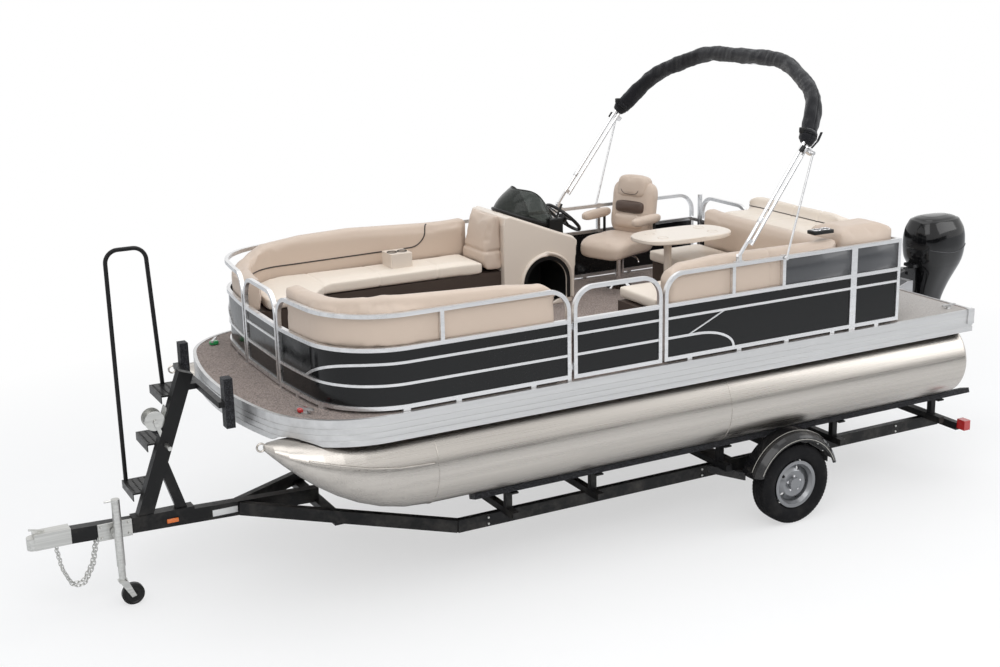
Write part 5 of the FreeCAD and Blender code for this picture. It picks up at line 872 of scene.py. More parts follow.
@dataclass
class Studio:
    """The camera at the photograph's place, the lamps and the white floor."""

    camera_place: Tuple[float, float, float] = (8.3456 - 2.8855, 9.2614, 4.2887)
    right: Tuple[float, float, float] = (-0.88259, 0.46964, -0.02171)
    up: Tuple[float, float, float] = (-0.14243, -0.22309, 0.96434)
    focal_pixels: float = 1451.748
    frame_pixels: float = 1000.0
    sensor: float = 36.0
    floor_size: float = 60.0
    shadow_reach: float = 5.0
    card_height: float = 2.4
    card_half: float = 24.0
    card_away: float = 17.0

    def build(self) -> None:
        """Sets up everything that is not part of the object."""
        self.build_camera()
        self.build_world()
        self.build_floor()
        self.build_cards()
        self.build_lamps()
        bpy.context.scene.view_settings.view_transform = "Standard"

    def build_camera(self) -> None:
        """Makes the camera from its place and its right and up directions."""
        data = bpy.data.cameras.new("camera")
        data.sensor_width = self.sensor
        data.lens = self.sensor * self.focal_pixels / self.frame_pixels
        data.clip_end = 200.0
        camera = linked("camera", data)
        right, up = Vector(self.right), Vector(self.up)
        turn = Matrix((right, up, right.cross(up))).transposed()
        camera.matrix_world = Matrix.Translation(self.camera_place) @ turn.to_4x4()
        bpy.context.scene.camera = camera

    def build_world(self) -> None:
        """A white surround that lights softly and shows white to camera and reflections."""
        world = bpy.data.worlds.new("surround")
        bpy.context.scene.world = world
        world.use_nodes = True
        tree = world.node_tree
        kit = NodeKit(tree)
        shown = tree.nodes["Background"]
        kit.fill(shown, Color=(1, 1, 1), Strength=1.0)
        soft = kit.add("ShaderNodeBackground", Color=(0.93, 0.96, 1.0), Strength=0.64)
        path = tree.nodes.new("ShaderNodeLightPath")
        seen = kit.math("MAXIMUM", path.outputs["Is Camera Ray"],
                        kit.math("MAXIMUM", path.outputs["Is Glossy Ray"],
                                 path.outputs["Is Transmission Ray"]))
        kit.put(tree.nodes["World Output"].inputs[0], kit.blend(seen, soft, shown))

    def build_floor(self) -> None:
        """A wide pale floor that keeps the shadow and is otherwise white to the camera."""
        half = self.floor_size / 2
        corners = np.array([[-half, -half, 0], [half, -half, 0], [half, half, 0],
                            [-half, half, 0]])
        floor = make_mesh("floor", corners, [(0, 1, 2, 3)])
        material, kit, shader, where = new_material("floor_white")
        tone = kit.mix(kit.noise(where, 1.5, 2.0), (0.94, 0.94, 0.94), (0.97, 0.97, 0.97))
        kit.fill(shader, Base_Color=tone, Roughness=0.75)
        self.fade_to_white(kit, shader, where)
        floor.data.materials.append(material)

    def fade_to_white(self, kit: NodeKit, shader: bpy.types.Node,
                      where: bpy.types.NodeSocket) -> None:
        """Lets the floor pass into plain white with distance, where the camera looks."""
        apart = kit.add("ShaderNodeVectorMath")
        apart.operation = "LENGTH"
        kit.put(apart.inputs[0], kit.stretch(where, (1.0, 1.25, 1.0)))
        far = kit.ramp(apart.outputs["Value"], self.shadow_reach, self.shadow_reach + 3.0, 0.58)
        path = kit.tree.nodes.new("ShaderNodeLightPath")
        white = kit.add("ShaderNodeEmission", Color=(1, 1, 1), Strength=1.0)
        share = kit.math("MULTIPLY", far, path.outputs["Is Camera Ray"])
        kit.put(kit.tree.nodes["Material Output"].inputs[0], kit.blend(share, shader, white))

    def build_cards(self) -> None:
        """Dark upright cards out of the camera's sight, which metal shows as dark bands."""
        material, kit, shader, where = new_material("card_dark")
        kit.fill(shader, Base_Color=kit.mix(kit.noise(where, 0.6, 2.0), (0.03, 0.03, 0.03),
                                            (0.06, 0.06, 0.06)), Roughness=0.9)
        for name, side in (("card_port", 1.0), ("card_starboard", -1.0)):
            y, half, high = self.card_away * side, self.card_half, self.card_height
            corners = np.array([[-half, y, 0], [half, y, 0], [half, y, high], [-half, y, high]])
            card = make_mesh(name, corners, [(0, 1, 2, 3)])
            card.data.materials.append(material)
            card.visible_camera = False

    def build_lamps(self) -> None:
        """Three large soft lamps."""
        lamps = (("key_lamp", (3.5, 6.0, 7.5), (0.2, 0.0, 1.0), 7.0, 300.0),
                 ("top_lamp", (-1.0, -1.0, 9.0), (0.0, 0.0, 1.0), 8.0, 260.0),
                 ("stern_lamp", (-8.0, 4.5, 5.0), (-1.0, 0.0, 1.0), 5.0, 150.0))
        for name, place, target, size, power in lamps:
            data = bpy.data.lights.new(name, "AREA")
            data.shape = "SQUARE"
            data.size = size
            data.energy = power
            turn = (Vector(target) - Vector(place)).to_track_quat("-Z", "Y")
            lamp = linked(name, data)
            lamp.matrix_world = Matrix.Translation(place) @ turn.to_matrix().to_4x4()


# Upholstery

@dataclass
class Cushion:
    """A padded piece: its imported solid, remeshed, blown up as cloth, then sewn.

    Seams are planes that press a groove into the surface: the depth falls off as a bell
    curve of the distance from the plane.
    """

    name: str
    node: str
    body: Body
    finish: str = "tan_vinyl"
    swell: float = 0.02
    voxel: float = CUSHION_VOXEL
    shrink: float = 0.008
    seams: List[Tuple[str, float, float, float]] = field(default_factory=list)
    solid: Optional[int] = None
    form: Optional[Callable[[], bpy.types.Object]] = None
    shape: Optional[Callable[[Array], Array]] = None
    pressure: float = 4.0
    frames: int = 20

    def build(self, palette: Palette) -> bpy.types.Object:
        """Makes the cushion and hands it to its body."""
        piece = self.copy_solid() if self.form is None else self.form()
        self.remesh(piece)
        if self.shape is not None:
            set_vertices(piece, self.shape(vertex_array(piece)))
        rest = vertex_array(piece)
        self.simulate(piece)
        self.cap_movement(piece, rest)
        self.smooth(piece)
        self.sew(piece)
        shade(piece.data)
        palette.ready(piece, self.finish, self.body, "tan_vinyl")
        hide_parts(self.node)
        return piece

    def copy_solid(self) -> bpy.types.Object:
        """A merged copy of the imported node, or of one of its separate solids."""
        mesh = frame["nodes"][self.node].data.copy()
        work = bmesh.new()
        work.from_mesh(mesh)
        bmesh.ops.remove_doubles(work, verts=work.verts, dist=1e-5)
        if self.solid is not None:
            self.keep_one_solid(work)
        work.to_mesh(mesh)
        work.free()
        mesh.materials.clear()
        return linked(self.name, mesh)

    def keep_one_solid(self, work: bmesh.types.BMesh) -> None:
        """Deletes all but the chosen one of the loose solids, ordered from bow to stern."""
        groups: List[set] = []
        left = set(work.verts)
        while left:
            seed = left.pop()
            group, front = {seed}, [seed]
            while front:
                reached = {e.other_vert(v) for v in front for e in v.link_edges} - group
                group |= reached
                front = list(reached)
            left -= group
            groups.append(group)
        groups.sort(key=lambda g: -max(v.co.x for v in g))
        doomed = [v for i, g in enumerate(groups) if i != self.solid for v in g]
        bmesh.ops.delete(work, geom=doomed, context="VERTS")

    def remesh(self, piece: bpy.types.Object) -> None:
        """Even quads over the whole surface, pulled in by the shrink distance."""
        modify(piece, "REMESH", mode="VOXEL", voxel_size=self.voxel)
        modify(piece, "SMOOTH", iterations=6, factor=0.6)
        apply_modifiers(piece)
        set_vertices(piece, vertex_array(piece) - normal_array(piece) * self.shrink)

    def simulate(self, piece: bpy.types.Object) -> None:
        """Blows the cushion up as cloth under pressure with gravity off."""
        scene = bpy.context.scene
        cloth = piece.modifiers.new("cloth", "CLOTH")
        cloth.settings.use_pressure = True
        cloth.settings.uniform_pressure_force = self.pressure
        cloth.settings.effector_weights.gravity = 0.0
        cloth.settings.quality = 4
        cloth.settings.mass = 0.4
        cloth.point_cache.frame_start = 1
        cloth.point_cache.frame_end = self.frames
        for step in range(1, self.frames + 1):
            scene.frame_set(step)
        apply_modifiers(piece)
        scene.frame_set(1)

    def cap_movement(self, piece: bpy.types.Object, rest: Array) -> None:
        """Holds each point within the swell distance of where it began."""
        now = vertex_array(piece)
        if len(now) != len(rest):
            return
        move = now - rest
        length = np.linalg.norm(move, axis=1, keepdims=True)
        set_vertices(piece, rest + move * np.minimum(1.0, self.swell / np.maximum(length, 1e-9)))

    def smooth(self, piece: bpy.types.Object) -> None:
        """One subdivision of the blown-up mesh."""
        modify(piece, "SUBSURF", levels=1, render_levels=1)
        apply_modifiers(piece)

    def sew(self, piece: bpy.types.Object) -> None:
        """Presses each seam's groove into the surface."""
        points, normals = vertex_array(piece), normal_array(piece)
        for axis, place, depth, width in self.seams:
            away = points[:, "XYZ".index(axis)] - place
            points = points - normals * (depth * np.exp(-(away / width) ** 2))[:, None]
        set_vertices(piece, points)


# Sub-assemblies

@dataclass
class Assembly:
    """A group of new pieces dressed from one palette."""

    palette: Palette

    def add(self, piece: bpy.types.Object, finish: str, body: Body = Body.BOAT,
            slot: Optional[str] = None) -> bpy.types.Object:
        """Dresses a piece and hands it to its body."""
        return self.palette.ready(piece, finish, body, slot)

    def build(self) -> None:
        """Makes every piece of the group."""
        raise NotImplementedError


def top_line(xs: Sequence[float], tops: Sequence[float], cad_top: float
             ) -> Callable[[Array], Array]:
    """A shaping step that bends a backrest's top edge to heights along the boat.

    Args:
        xs: Stations along the boat, from stern to bow.
        tops: The wanted height of the top at each station.
        cad_top: The height of the top before the step.

    Returns:
        A function from a cushion's points to its bent points.
    """
    reach = 0.26

    def bend(points: Array) -> Array:
        """Raises or lowers the upper part of the points."""
        wanted = np.interp(points[:, 0] - STERN_EDGE, xs, tops)
        share = np.clip((points[:, 2] - (cad_top - reach)) / reach, 0, 1)
        moved = points.copy()
        moved[:, 2] += share * (wanted - cad_top)
        return moved
    return bend


@dataclass
class Lounges(Assembly):
    """The bow and aft lounges, the sun pad and their piping."""

    back_inner_y: float = 1.093
    corner_x: float = 4.837
    corner_y: float = 0.755
    corner_r: float = 0.335
    cord_z: float = 1.905
    cup_z: float = 1.9495

    def build(self) -> None:
        """Makes every cushion, the cords sewn along them, the cup rims and the drink holder."""
        bow_port = top_line((3.60, 3.70, 3.78, 4.06, 4.56, 4.9, 5.25),
                            (2.02, 2.05, 2.10, 2.135, 2.155, 2.17, 2.13), 2.16)
        bow_star = top_line((3.10, 3.54, 4.2, 4.61, 4.94, 5.10, 5.26),
                            (2.13, 2.145, 2.185, 2.17, 2.12, 2.03, 1.96), 2.2)
        aft = top_line((0.7, 1.0, 1.43, 2.4, 2.7, 2.8, 2.845),
                       (2.15, 2.14, 2.135, 2.15, 2.12, 2.06, 1.99), 2.16)
        cushions = (
            Cushion("bow_seat_port", "lounge_seat_port", Body.BOAT, "pale_vinyl",
                    seams=[("X", station(x), 0.006, 0.010) for x in (4.15, 4.62)]),
            Cushion("bow_seat_starboard", "lounge_seat_starboard", Body.BOAT, "pale_vinyl",
                    seams=[("X", station(x), 0.006, 0.010) for x in (3.66, 4.15, 4.62)]),
            Cushion("bow_back_port", "lounge_back_port", Body.BOAT, shape=bow_port),
            Cushion("bow_back_starboard", "lounge_back_starboard", Body.BOAT, solid=0,
                    shape=bow_star),
            Cushion("companion_back", "lounge_back_starboard", Body.BOAT, solid=1,
                    seams=[("Z", 1.90, 0.012, 0.012)]),
            Cushion("aft_seat_pad", "aft_seat", Body.BOAT, "pale_vinyl",
                    seams=[("X", station(x), 0.006, 0.010) for x in (1.95, 2.4)]),
            Cushion("aft_backrest", "aft_back", Body.BOAT, solid=0, shape=aft,
                    seams=[("X", station(1.95), 0.006, 0.009)]),
            Cushion("aft_corner", "aft_back", Body.BOAT, solid=1),
            Cushion("sun_pad", "sunpad_lid", Body.SUN_PAD, "pale_vinyl",
                    seams=[("Y", y, 0.007, 0.010) for y in (-0.05, 0.25, 0.55)]))
        made = {cushion.name: cushion.build(self.palette) for cushion in cushions}
        self.sew_bow(made["bow_back_starboard"])
        self.sew_edges(made)
        self.build_caddy()
        self.build_drink_holder()

    def sew_bow(self, back: bpy.types.Object) -> None:
        """The dark cord under the long bolster, which turns up to the top near its end."""
        turn = np.radians(np.linspace(-12, -90, 16))
        corner = np.stack([station(self.corner_x) + self.corner_r * np.cos(turn),
                           -self.corner_y + self.corner_r * np.sin(turn),
                           np.full(16, self.cord_z)], axis=1)
        y = -self.back_inner_y
        rest = filleted([(station(4.7), y, self.cord_z), (station(3.60), y, 1.92),
                         (station(3.54), y, 2.17)], 0.14, 12)
        path = resampled(np.concatenate([corner, rest]), 0.02)
        line = laid_on(back, path, 0.001)
        cord = tube("bolster_cord_starboard", line, 0.0055, 8)
        self.add(cord, "piping", slot="tan_vinyl")

    def sew_edges(self, made: Dict[str, bpy.types.Object]) -> None:
        """Stitched edge cords on the other cushions."""
        port_y = self.back_inner_y + 0.15
        lines = (("cord_back_port", "bow_back_port", Body.BOAT, "tan_vinyl",
                  [(station(3.66), port_y, 2.0), (station(4.8), port_y, 2.02)]),
                 ("cord_aft_port", "aft_backrest", Body.BOAT, "tan_vinyl",
                  [(station(0.95), port_y, 2.03), (station(2.78), port_y, 2.0)]),
                 ("cord_sun_pad", "sun_pad", Body.SUN_PAD, "piping",
                  [(station(0.965), -0.33, 2.09), (station(0.965), 0.81, 2.09)]),
                 ("cord_corner", "aft_corner", Body.BOAT, "piping",
                  [(station(0.8), 0.86, 2.16), (station(1.25), 0.86, 2.16)]))
        for name, cushion, body, finish, ends in lines:
            path = resampled(np.asarray(ends, float), 0.02)
            cord = tube(name, laid_on(made[cushion], path, 0.001), 0.004, 8)
            self.add(cord, finish, body, "tan_vinyl")

    def build_caddy(self) -> None:
        """Black rims round the two cups of the caddy."""
        for name, x in (("cup_rim_fore", 3.962), ("cup_rim_aft", 3.878)):
            rim = revolve(name, [(0.034, 0.0), (0.040, 0.0), (0.0405, 0.003), (0.038, 0.0055),
                                 (0.035, 0.005), (0.0335, 0.001)],
                          (station(x), -0.865, self.cup_z), "Z", 40)
            self.add(rim, "black_plastic")

    def build_drink_holder(self) -> None:
        """The two-slot holder set in the top of the port aft backrest."""
        x, y, z = station(1.42), 1.135, 2.165
        base = rounded_block("holder_base", (x - 0.09, y - 0.045, z - 0.02),
                             (x + 0.09, y + 0.045, z + 0.008), 0.006)
        self.add(base, "black_plastic")
        for name, shift in (("holder_ring_fore", 0.042), ("holder_ring_aft", -0.042)):
            ring = revolve(name, [(0.028, 0.0), (0.036, 0.0), (0.036, 0.006), (0.028, 0.006)],
                           (x + shift, y, z + 0.007), "Z", 36)
            self.add(ring, "chrome")


@dataclass
class CaptainsChair(Assembly):
    """The helm chair: cushions, dark inserts, arms and its lever, built facing forward."""

    centre: Tuple[float, float] = (1.88, -0.865)
    turn: float = 20.0
    seat_top: float = 1.845

    def place(self, piece: bpy.types.Object) -> bpy.types.Object:
        """Turns a piece about the pedestal and moves it to the helm."""
        points = vertex_array(piece)
        angle = math.radians(self.turn)
        x = points[:, 0] * math.cos(angle) - points[:, 1] * math.sin(angle)
        y = points[:, 0] * math.sin(angle) + points[:, 1] * math.cos(angle)
        set_vertices(piece, np.stack([x + station(self.centre[0]), y + self.centre[1],
                                      points[:, 2]], axis=1))
        return piece

    def form(self, name: str, centre: Sequence[float], size: Sequence[float], power: float = 0.4,
             lean: float = 0.0, droop: float = 0.0) -> Callable[[], bpy.types.Object]:
        """A maker of one pillow, drooped at its front and leaned back about Y.

        Args:
            name: The pillow's name.
            centre: Its middle, from the pedestal.
            size: Its full length, width and height.
            power: Small for a block with soft edges, 1 for an ellipsoid.
            lean: Degrees by which it leans back.
            droop: How far its front edge hangs down.

        Returns:
            A function that makes the pillow in place.
        """
        def make() -> bpy.types.Object:
            """Makes the pillow in place."""
            piece = pillow(name, (0, 0, 0), size, power)
            points = vertex_array(piece)
            front = np.clip((points[:, 0] - size[0] * 0.15) / (size[0] * 0.35), 0, 1)
            points[:, 2] -= droop * front ** 2
            set_vertices(piece, leaned(points, lean) + np.asarray(centre))
            return self.place(piece)
        return make

    def build(self) -> None:
        """Makes the chair's pieces."""
        top = self.seat_top
        forms = (("chair_seat", (0.04, 0, top - 0.065), (0.54, 0.50, 0.15), 0.42, 0, 0.045,
                  "tan_vinyl"),
                 ("chair_skirt", (-0.02, 0, top - 0.118), (0.44, 0.44, 0.06), 0.4, 0, 0.0,
                  "brown_vinyl"),
                 ("chair_back", (-0.205, 0, top + 0.21), (0.125, 0.45, 0.47), 0.42, 8, 0.0,
                  "tan_vinyl"),
                 ("chair_lumbar", (-0.135, 0, top + 0.105), (0.09, 0.31, 0.13), 0.5, 8, 0.0,
                  "tan_vinyl"),
                 ("chair_insert", (-0.150, 0, top + 0.222), (0.085, 0.30, 0.11), 0.4, 8, 0.0,
                  "brown_vinyl"),
                 ("chair_headrest", (-0.215, 0, top + 0.385), (0.155, 0.31, 0.2), 0.5, 8, 0.0,
                  "tan_vinyl"),
                 ("chair_arm_port", (-0.02, 0.262, top + 0.155), (0.37, 0.085, 0.085), 0.5, 0, 0.0,
                  "tan_vinyl"),
                 ("chair_arm_starboard", (-0.02, -0.262, top + 0.155), (0.37, 0.085, 0.085), 0.5,
                  0, 0.0, "tan_vinyl"))
        made = {}
        for name, centre, size, power, lean, droop, finish in forms:
            cushion = Cushion(name, "helm_seat", Body.CHAIR, finish, swell=0.008, voxel=0.0125,
                              shrink=0.004,
                              form=self.form(name, centre, size, power, lean, droop))
            made[name] = cushion.build(self.palette)
        self.build_metal(made)

    def build_metal(self, made: Dict[str, bpy.types.Object]) -> None:
        """The pan under the seat, the arm brackets, the height lever and the headrest's stitches."""
        top = self.seat_top
        pan = rounded_block("chair_pan", (-0.17, -0.16, top - 0.142), (0.15, 0.16, top - 0.128),
                            0.004)
        self.add(self.place(pan), "black_plastic", Body.CHAIR)
        for name, side in (("chair_bracket_port", 1), ("chair_bracket_starboard", -1)):
            path = filleted([(-0.15, side * 0.19, top - 0.09), (-0.13, side * 0.262, top - 0.06),
                             (-0.13, side * 0.262, top + 0.14)], 0.05)
            bracket = self.place(tube(name, resampled(path, 0.01), 0.012, 12))
            self.add(bracket, "black_plastic", Body.CHAIR)
        lever = filleted([(0.05, 0.1, top - 0.135), (0.08, 0.24, top - 0.145),
                          (0.12, 0.29, top - 0.17)], 0.05)
        lever = self.place(tube("chair_lever", resampled(lever, 0.01), 0.006, 10))
        self.add(lever, "chrome", Body.CHAIR)
        angle = np.radians(np.linspace(205, 335, 30))
        arc = np.stack([np.full(30, 0.0), 0.105 * np.cos(angle), 0.105 * np.sin(angle)], axis=1)
        head = arc + np.array([-0.1, 0, top + 0.415])
        line = self.place(make_mesh("stitch_line", head, []))
        path = laid_on(made["chair_headrest"], vertex_array(line), 0.0005)
        bpy.data.objects.remove(line)
        self.add(tube("headrest_stitch", path, 0.0025, 6), "piping", Body.CHAIR, "tan_vinyl")


@dataclass
class Helm(Assembly):
    """The moulded console with its locker frame, dash, gauges and wraparound windscreen."""

    rear: float = 2.49
    inner_y: float = -0.62
    locker_x: float = 2.725
    locker_half: float = 0.18
    spring_z: float = 1.60
    foot_z: float = 1.453
    dash_rise: Tuple[float, float] = (0.20, 0.08)
    dash_z: float = 2.085
    screen_sweep: float = 112.0
    screen_base: Tuple[float, float, float] = (2.71, -0.915, 2.178)
    screen_tip: Tuple[float, float, float] = (2.70, -0.915, 2.332)
    base_radii: Tuple[float, float] = (0.315, 0.235)
    tip_radii: Tuple[float, float] = (0.150, 0.175)
    tip_drop: float = 0.030
    cowling_slope: float = 0.36
    pane_bulge: float = 0.022
    pane_thick: float = 0.005
    wheel_tilt: float = 50.0

    def build(self) -> None:
        """Makes the console's visible pieces."""
        shell = soft_copy("console_moulding", "helm_console", 0.0085, 5)
        self.add(shell, "console_beige")
        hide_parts("helm_console")
        self.build_locker()
        self.build_dash()
        self.build_windscreen()
        self.build_wheel()

    def arch(self, grow: float, y: float) -> Array:
        """The locker opening's outline, drawn out by a distance, from foot to foot."""
        half = self.locker_half + grow
        turn = np.radians(np.linspace(0, 180, 33))
        x = station(self.locker_x)
        curve = np.stack([x + half * np.cos(turn), np.full(33, y),
                          self.spring_z + half * np.sin(turn)], axis=1)
        return np.concatenate([[[x + half, y, self.foot_z]], curve, [[x - half, y, self.foot_z]]])

    def build_locker(self) -> None:
        """The dark lining, a dark bezel and the moulded frame round the opening."""
        edge, deep = self.arch(-0.003, self.inner_y - 0.006), self.arch(-0.006, self.inner_y - 0.41)
        count = len(edge)
        faces: List[Sequence[int]] = grid_faces(2, count, False, True).tolist()
        faces.append(list(range(count, 2 * count)))
        lining = make_mesh("locker_lining", np.concatenate([edge, deep]), faces, smooth=False)
        self.add(lining, "black_plastic")
        inner, outer = self.arch(0.002, self.inner_y + 0.003), self.arch(0.034, self.inner_y + 0.003)
        bezel = make_mesh("locker_bezel", np.concatenate([inner, outer]),
                          grid_faces(2, count, False, False), smooth=False)
        thicken(bezel, 0.003)
        self.add(bezel, "black_plastic")
        rim = tube("locker_frame", resampled(self.arch(0.052, self.inner_y + 0.004), 0.012),
                   0.022, 14, flatten=0.55)
        self.add(rim, "console_beige")

    def build_dash(self) -> None:
        """The instrument hood and the row of gauges that face the chair."""
        slope = math.degrees(math.atan2(*self.dash_rise[::-1]))
        centre = np.array([station(self.rear + 0.30), 0.0, self.dash_z])
        hood = pillow("dash_hood", (0, 0, 0), (0.27, 0.40, 0.045), 0.35)
        set_vertices(hood, leaned(vertex_array(hood), slope) + centre + [0, -0.90, 0])
        self.add(hood, "black_plastic")
        for index, y in enumerate((-1.03, -0.95, -0.86, -0.78)):
            ring = revolve(f"gauge_{index + 1}", [(0.0, -0.002), (0.024, -0.002), (0.030, 0.0),
                                                  (0.030, 0.008), (0.026, 0.009), (0.0, 0.004)],
                           (-0.03, y, 0.024), "Z", 32)
            set_vertices(ring, leaned(vertex_array(ring), slope) + centre)
            self.add(ring, "chrome" if index % 2 else "black_plastic")

    def build_windscreen(self) -> None:
        """A smoked screen that wraps round the dash.

        Each line from foot to lip runs from a point of the base oval towards a point of the
        smaller tip oval. A share of that way is gone, the root of 1 - (turn / sweep)^5, so
        that the lip comes down to the foot at both ends. A sine bulges the pane between.
        """
        rows_up, rows_round = 15, 53
        sweep = np.linspace(-self.screen_sweep, self.screen_sweep, rows_round)
        turn = np.radians(sweep)[None, :, None]
        up = np.linspace(0, 1, rows_up)[:, None, None]
        ahead, aside = self.base_radii[0] * np.cos(turn), self.base_radii[1] * np.sin(turn)
        drop = (ahead - 0.32) * self.cowling_slope
        base = np.array(self.screen_base) + np.concatenate([ahead, aside, drop], axis=2)
        ahead, aside = self.tip_radii[0] * np.cos(turn), self.tip_radii[1] * np.sin(turn)
        drop = -self.tip_drop * (1 - np.cos(turn)) ** 2
        tip = np.array(self.screen_tip) + np.concatenate([ahead, aside, drop], axis=2)
        fall = np.sqrt(np.clip(1 - np.abs(turn / turn.max()) ** 5, 0.0004, 1))
        rows = base + (tip - base) * up * fall
        bulge = np.sin(up * math.pi) * self.pane_bulge * fall
        rows = rows + np.concatenate([bulge * np.cos(turn), bulge * np.sin(turn), 0 * turn * up],
                                     axis=2)
        rows[:, :, 0] += STERN_EDGE
        pane = make_mesh("windscreen_pane", rows, grid_faces(rows_up, rows_round, False, False))
        thicken(pane, self.pane_thick)
        self.add(pane, "smoked_glass")
        foot = tube("windscreen_foot", rows[0] + [0, 0, 0.004], 0.014, 12)
        self.add(foot, "black_plastic")
        lip = tube("windscreen_lip", rows[-1], 0.004, 8)
        self.add(lip, "black_plastic")
        cover = np.concatenate([rows[0] - [0, 0, 0.002], rows[0] - [0, 0, 0.03]])
        plug = make_mesh("windscreen_base", cover, capped_faces(2, rows_round), smooth=False)
        self.add(plug, "black_plastic")
        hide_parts("windscreen")

    def build_wheel(self) -> None:
        """A bright cap on the steering wheel's hub."""
        low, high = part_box("steering_wheel")
        cap = revolve("wheel_cap", [(0.0, 0.004), (0.03, 0.004), (0.036, 0.012), (0.03, 0.024),
                                    (0.0, 0.028)], (0, 0, 0), "Z", 28)
        set_vertices(cap, leaned(vertex_array(cap), self.wheel_tilt) + np.array((low + high) / 2))
        self.add(cap, "chrome", Body.WHEEL)


@dataclass
class Canopy(Assembly):
    """The rolled canopy in its wrinkled boot, its straps, buckles and the leg fittings."""

    half: float = 1.255
    leg: float = 0.98
    rise: float = 0.602
    spread: float = 0.042
    lean: float = 37.0
    hinge: Tuple[float, float] = (2.246, 2.096)
    thick: float = 0.056
    wide: float = 0.066
    hem_rise: float = 0.004
    seam_depth: float = 0.006
    webbing_half: float = 0.016

    def raised(self, points: Array) -> Array:
        """Turns points built upright over the hinge into place."""
        return leaned(points, self.lean) + [station(self.hinge[0]), 0.0, self.hinge[1]]

    def route(self) -> Array:
        """The boot's centreline, upright over the hinge."""
        x, knee, top = -self.spread / 2, self.leg + self.rise * 0.55, self.leg + self.rise
        corners = [(x, self.half - 0.018, self.leg * 0.96), (x, self.half - 0.19, knee),
                   (x, self.half * 0.4, top), (x, -self.half * 0.4, top),
                   (x, 0.19 - self.half, knee), (x, 0.018 - self.half, self.leg * 0.96)]
        return resampled(filleted(corners, 0.6, 14), 0.008)

    def build(self) -> None:
        """Makes the boot and its fittings."""
        path = self.route()
        boot = self.build_boot(path)
        self.build_straps(path)
        self.build_fittings()
        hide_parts("bimini_boot")

    def build_boot(self, path: Array) -> bpy.types.Object:
        """The boot: an oval along the route, drawn in at its ends, whose radius carries folds.

        The folds are sums of sines of the distance along and the angle round: slanting
        wrinkles, creases that gather at the two knees, and a broad sag. A bell curve raises
        the hem near each end, and another presses the seam in underneath.

        Args:
            path: The centreline, upright over the hinge.

        Returns:
            The boot in place.
        """
        run = run_along(path)
        sides = 72
        turn = around(sides)[None, :]
        along = run[:, None]
        heading = unit(np.gradient(path, axis=0))
        fore = np.array([1.0, 0.0, 0.0])
        outward = np.cross(fore, heading)
        share = along / run[-1]
        ends = np.minimum(1.0, np.minimum(share, 1 - share) / 0.022)
        taper = 0.60 + 0.40 * np.sqrt(np.clip(ends, 0, 1))
        bend = np.exp(-((share - 0.2) / 0.09) ** 2) + np.exp(-((share - 0.8) / 0.09) ** 2)
        wrinkles = (0.0026 * np.sin(23 * along + 2.4 * np.sin(2 * turn + 0.6))
                    + 0.0013 * np.sin(47 * along - 2 * turn + 2 * np.sin(5 * along))
                    + 0.0008 * np.sin(90 * along + 5 * np.cos(turn) + 3 * np.sin(11 * along)))
        creases = -0.0035 * bend * np.abs(np.sin(19 * along + 1.1 * turn)) ** 0.6
        sag = 0.0030 * np.sin(6.1 * along + turn) + 0.0022 * np.sin(3 * turn + 9 * along)
        hem = self.hem_rise * np.exp(-((np.minimum(share, 1 - share) - 0.012) / 0.003) ** 2)
        away = np.angle(np.exp(1j * (turn + math.pi * 0.42)))
        seam = -self.seam_depth * np.exp(-(away / 0.05) ** 2)
        relief = wrinkles + creases + sag + hem + seam
        wide, thick = self.wide * taper + relief, self.thick * taper + relief
        ring = (wide * np.cos(turn))[..., None] * fore + (thick * np.sin(turn))[..., None] \
            * outward[:, None, :]
        points = self.raised(path[:, None, :] + ring)
        boot = make_mesh("canopy_boot", points, capped_faces(len(path), sides))
        self.add(boot, "canvas", Body.CANOPY)
        return boot

    def build_straps(self, path: Array) -> None:
        """Webbing round both ends of the boot, each with a buckle."""
        for name, index in (("port", 9), ("starboard", len(path) - 10)):
            spot = path[index]
            ahead = unit(path[index + 1] - path[index - 1])
            across = np.cross([1.0, 0.0, 0.0], ahead)
            ring = ellipse_path(spot, np.array([1.0, 0, 0]) * self.wide * 0.99,
                                across * self.thick * 1.02, 48)
            band = np.stack([ring - ahead * self.webbing_half, ring + ahead * self.webbing_half])
            strap = make_mesh(f"boot_strap_{name}", self.raised(band),
                              grid_faces(2, 48, False, True))
            thicken(strap, 0.004)
            self.add(strap, "canvas", Body.CANOPY)
            place = self.raised(spot + np.array([self.wide * 0.99, 0, 0]))
            buckle = rounded_block(f"boot_buckle_{name}", place - 0.02, place + 0.02, 0.006)
            self.add(buckle, "black_plastic", Body.CANOPY)

    def build_fittings(self) -> None:
        """Two jaw slides and a web loop on each side's legs."""
        for name, side in (("port", 1.0), ("starboard", -1.0)):
            y = side * self.half
            for number, height in ((1, 0.30), (2, 0.885)):
                points = np.array([[0.0, y, height - 0.022], [0.0, y, height + 0.022]])
                slide = tube(f"jaw_slide_{name}_{number}", resampled(self.raised(points), 0.011),
                             0.0175, 16)
                self.add(slide, "black_plastic" if number == 2 else "rail_metal", Body.CANOPY)
            loop = np.array([[-0.05, y + side * 0.020, 0.925], [-0.062, y + side * 0.026, 0.99],
                             [-0.055, y + side * 0.022, 1.06]])
            web = tube(f"web_loop_{name}", resampled(self.raised(loop), 0.01), 0.012, 10,
                       flatten=0.3)
            self.add(web, "canvas", Body.CANOPY)


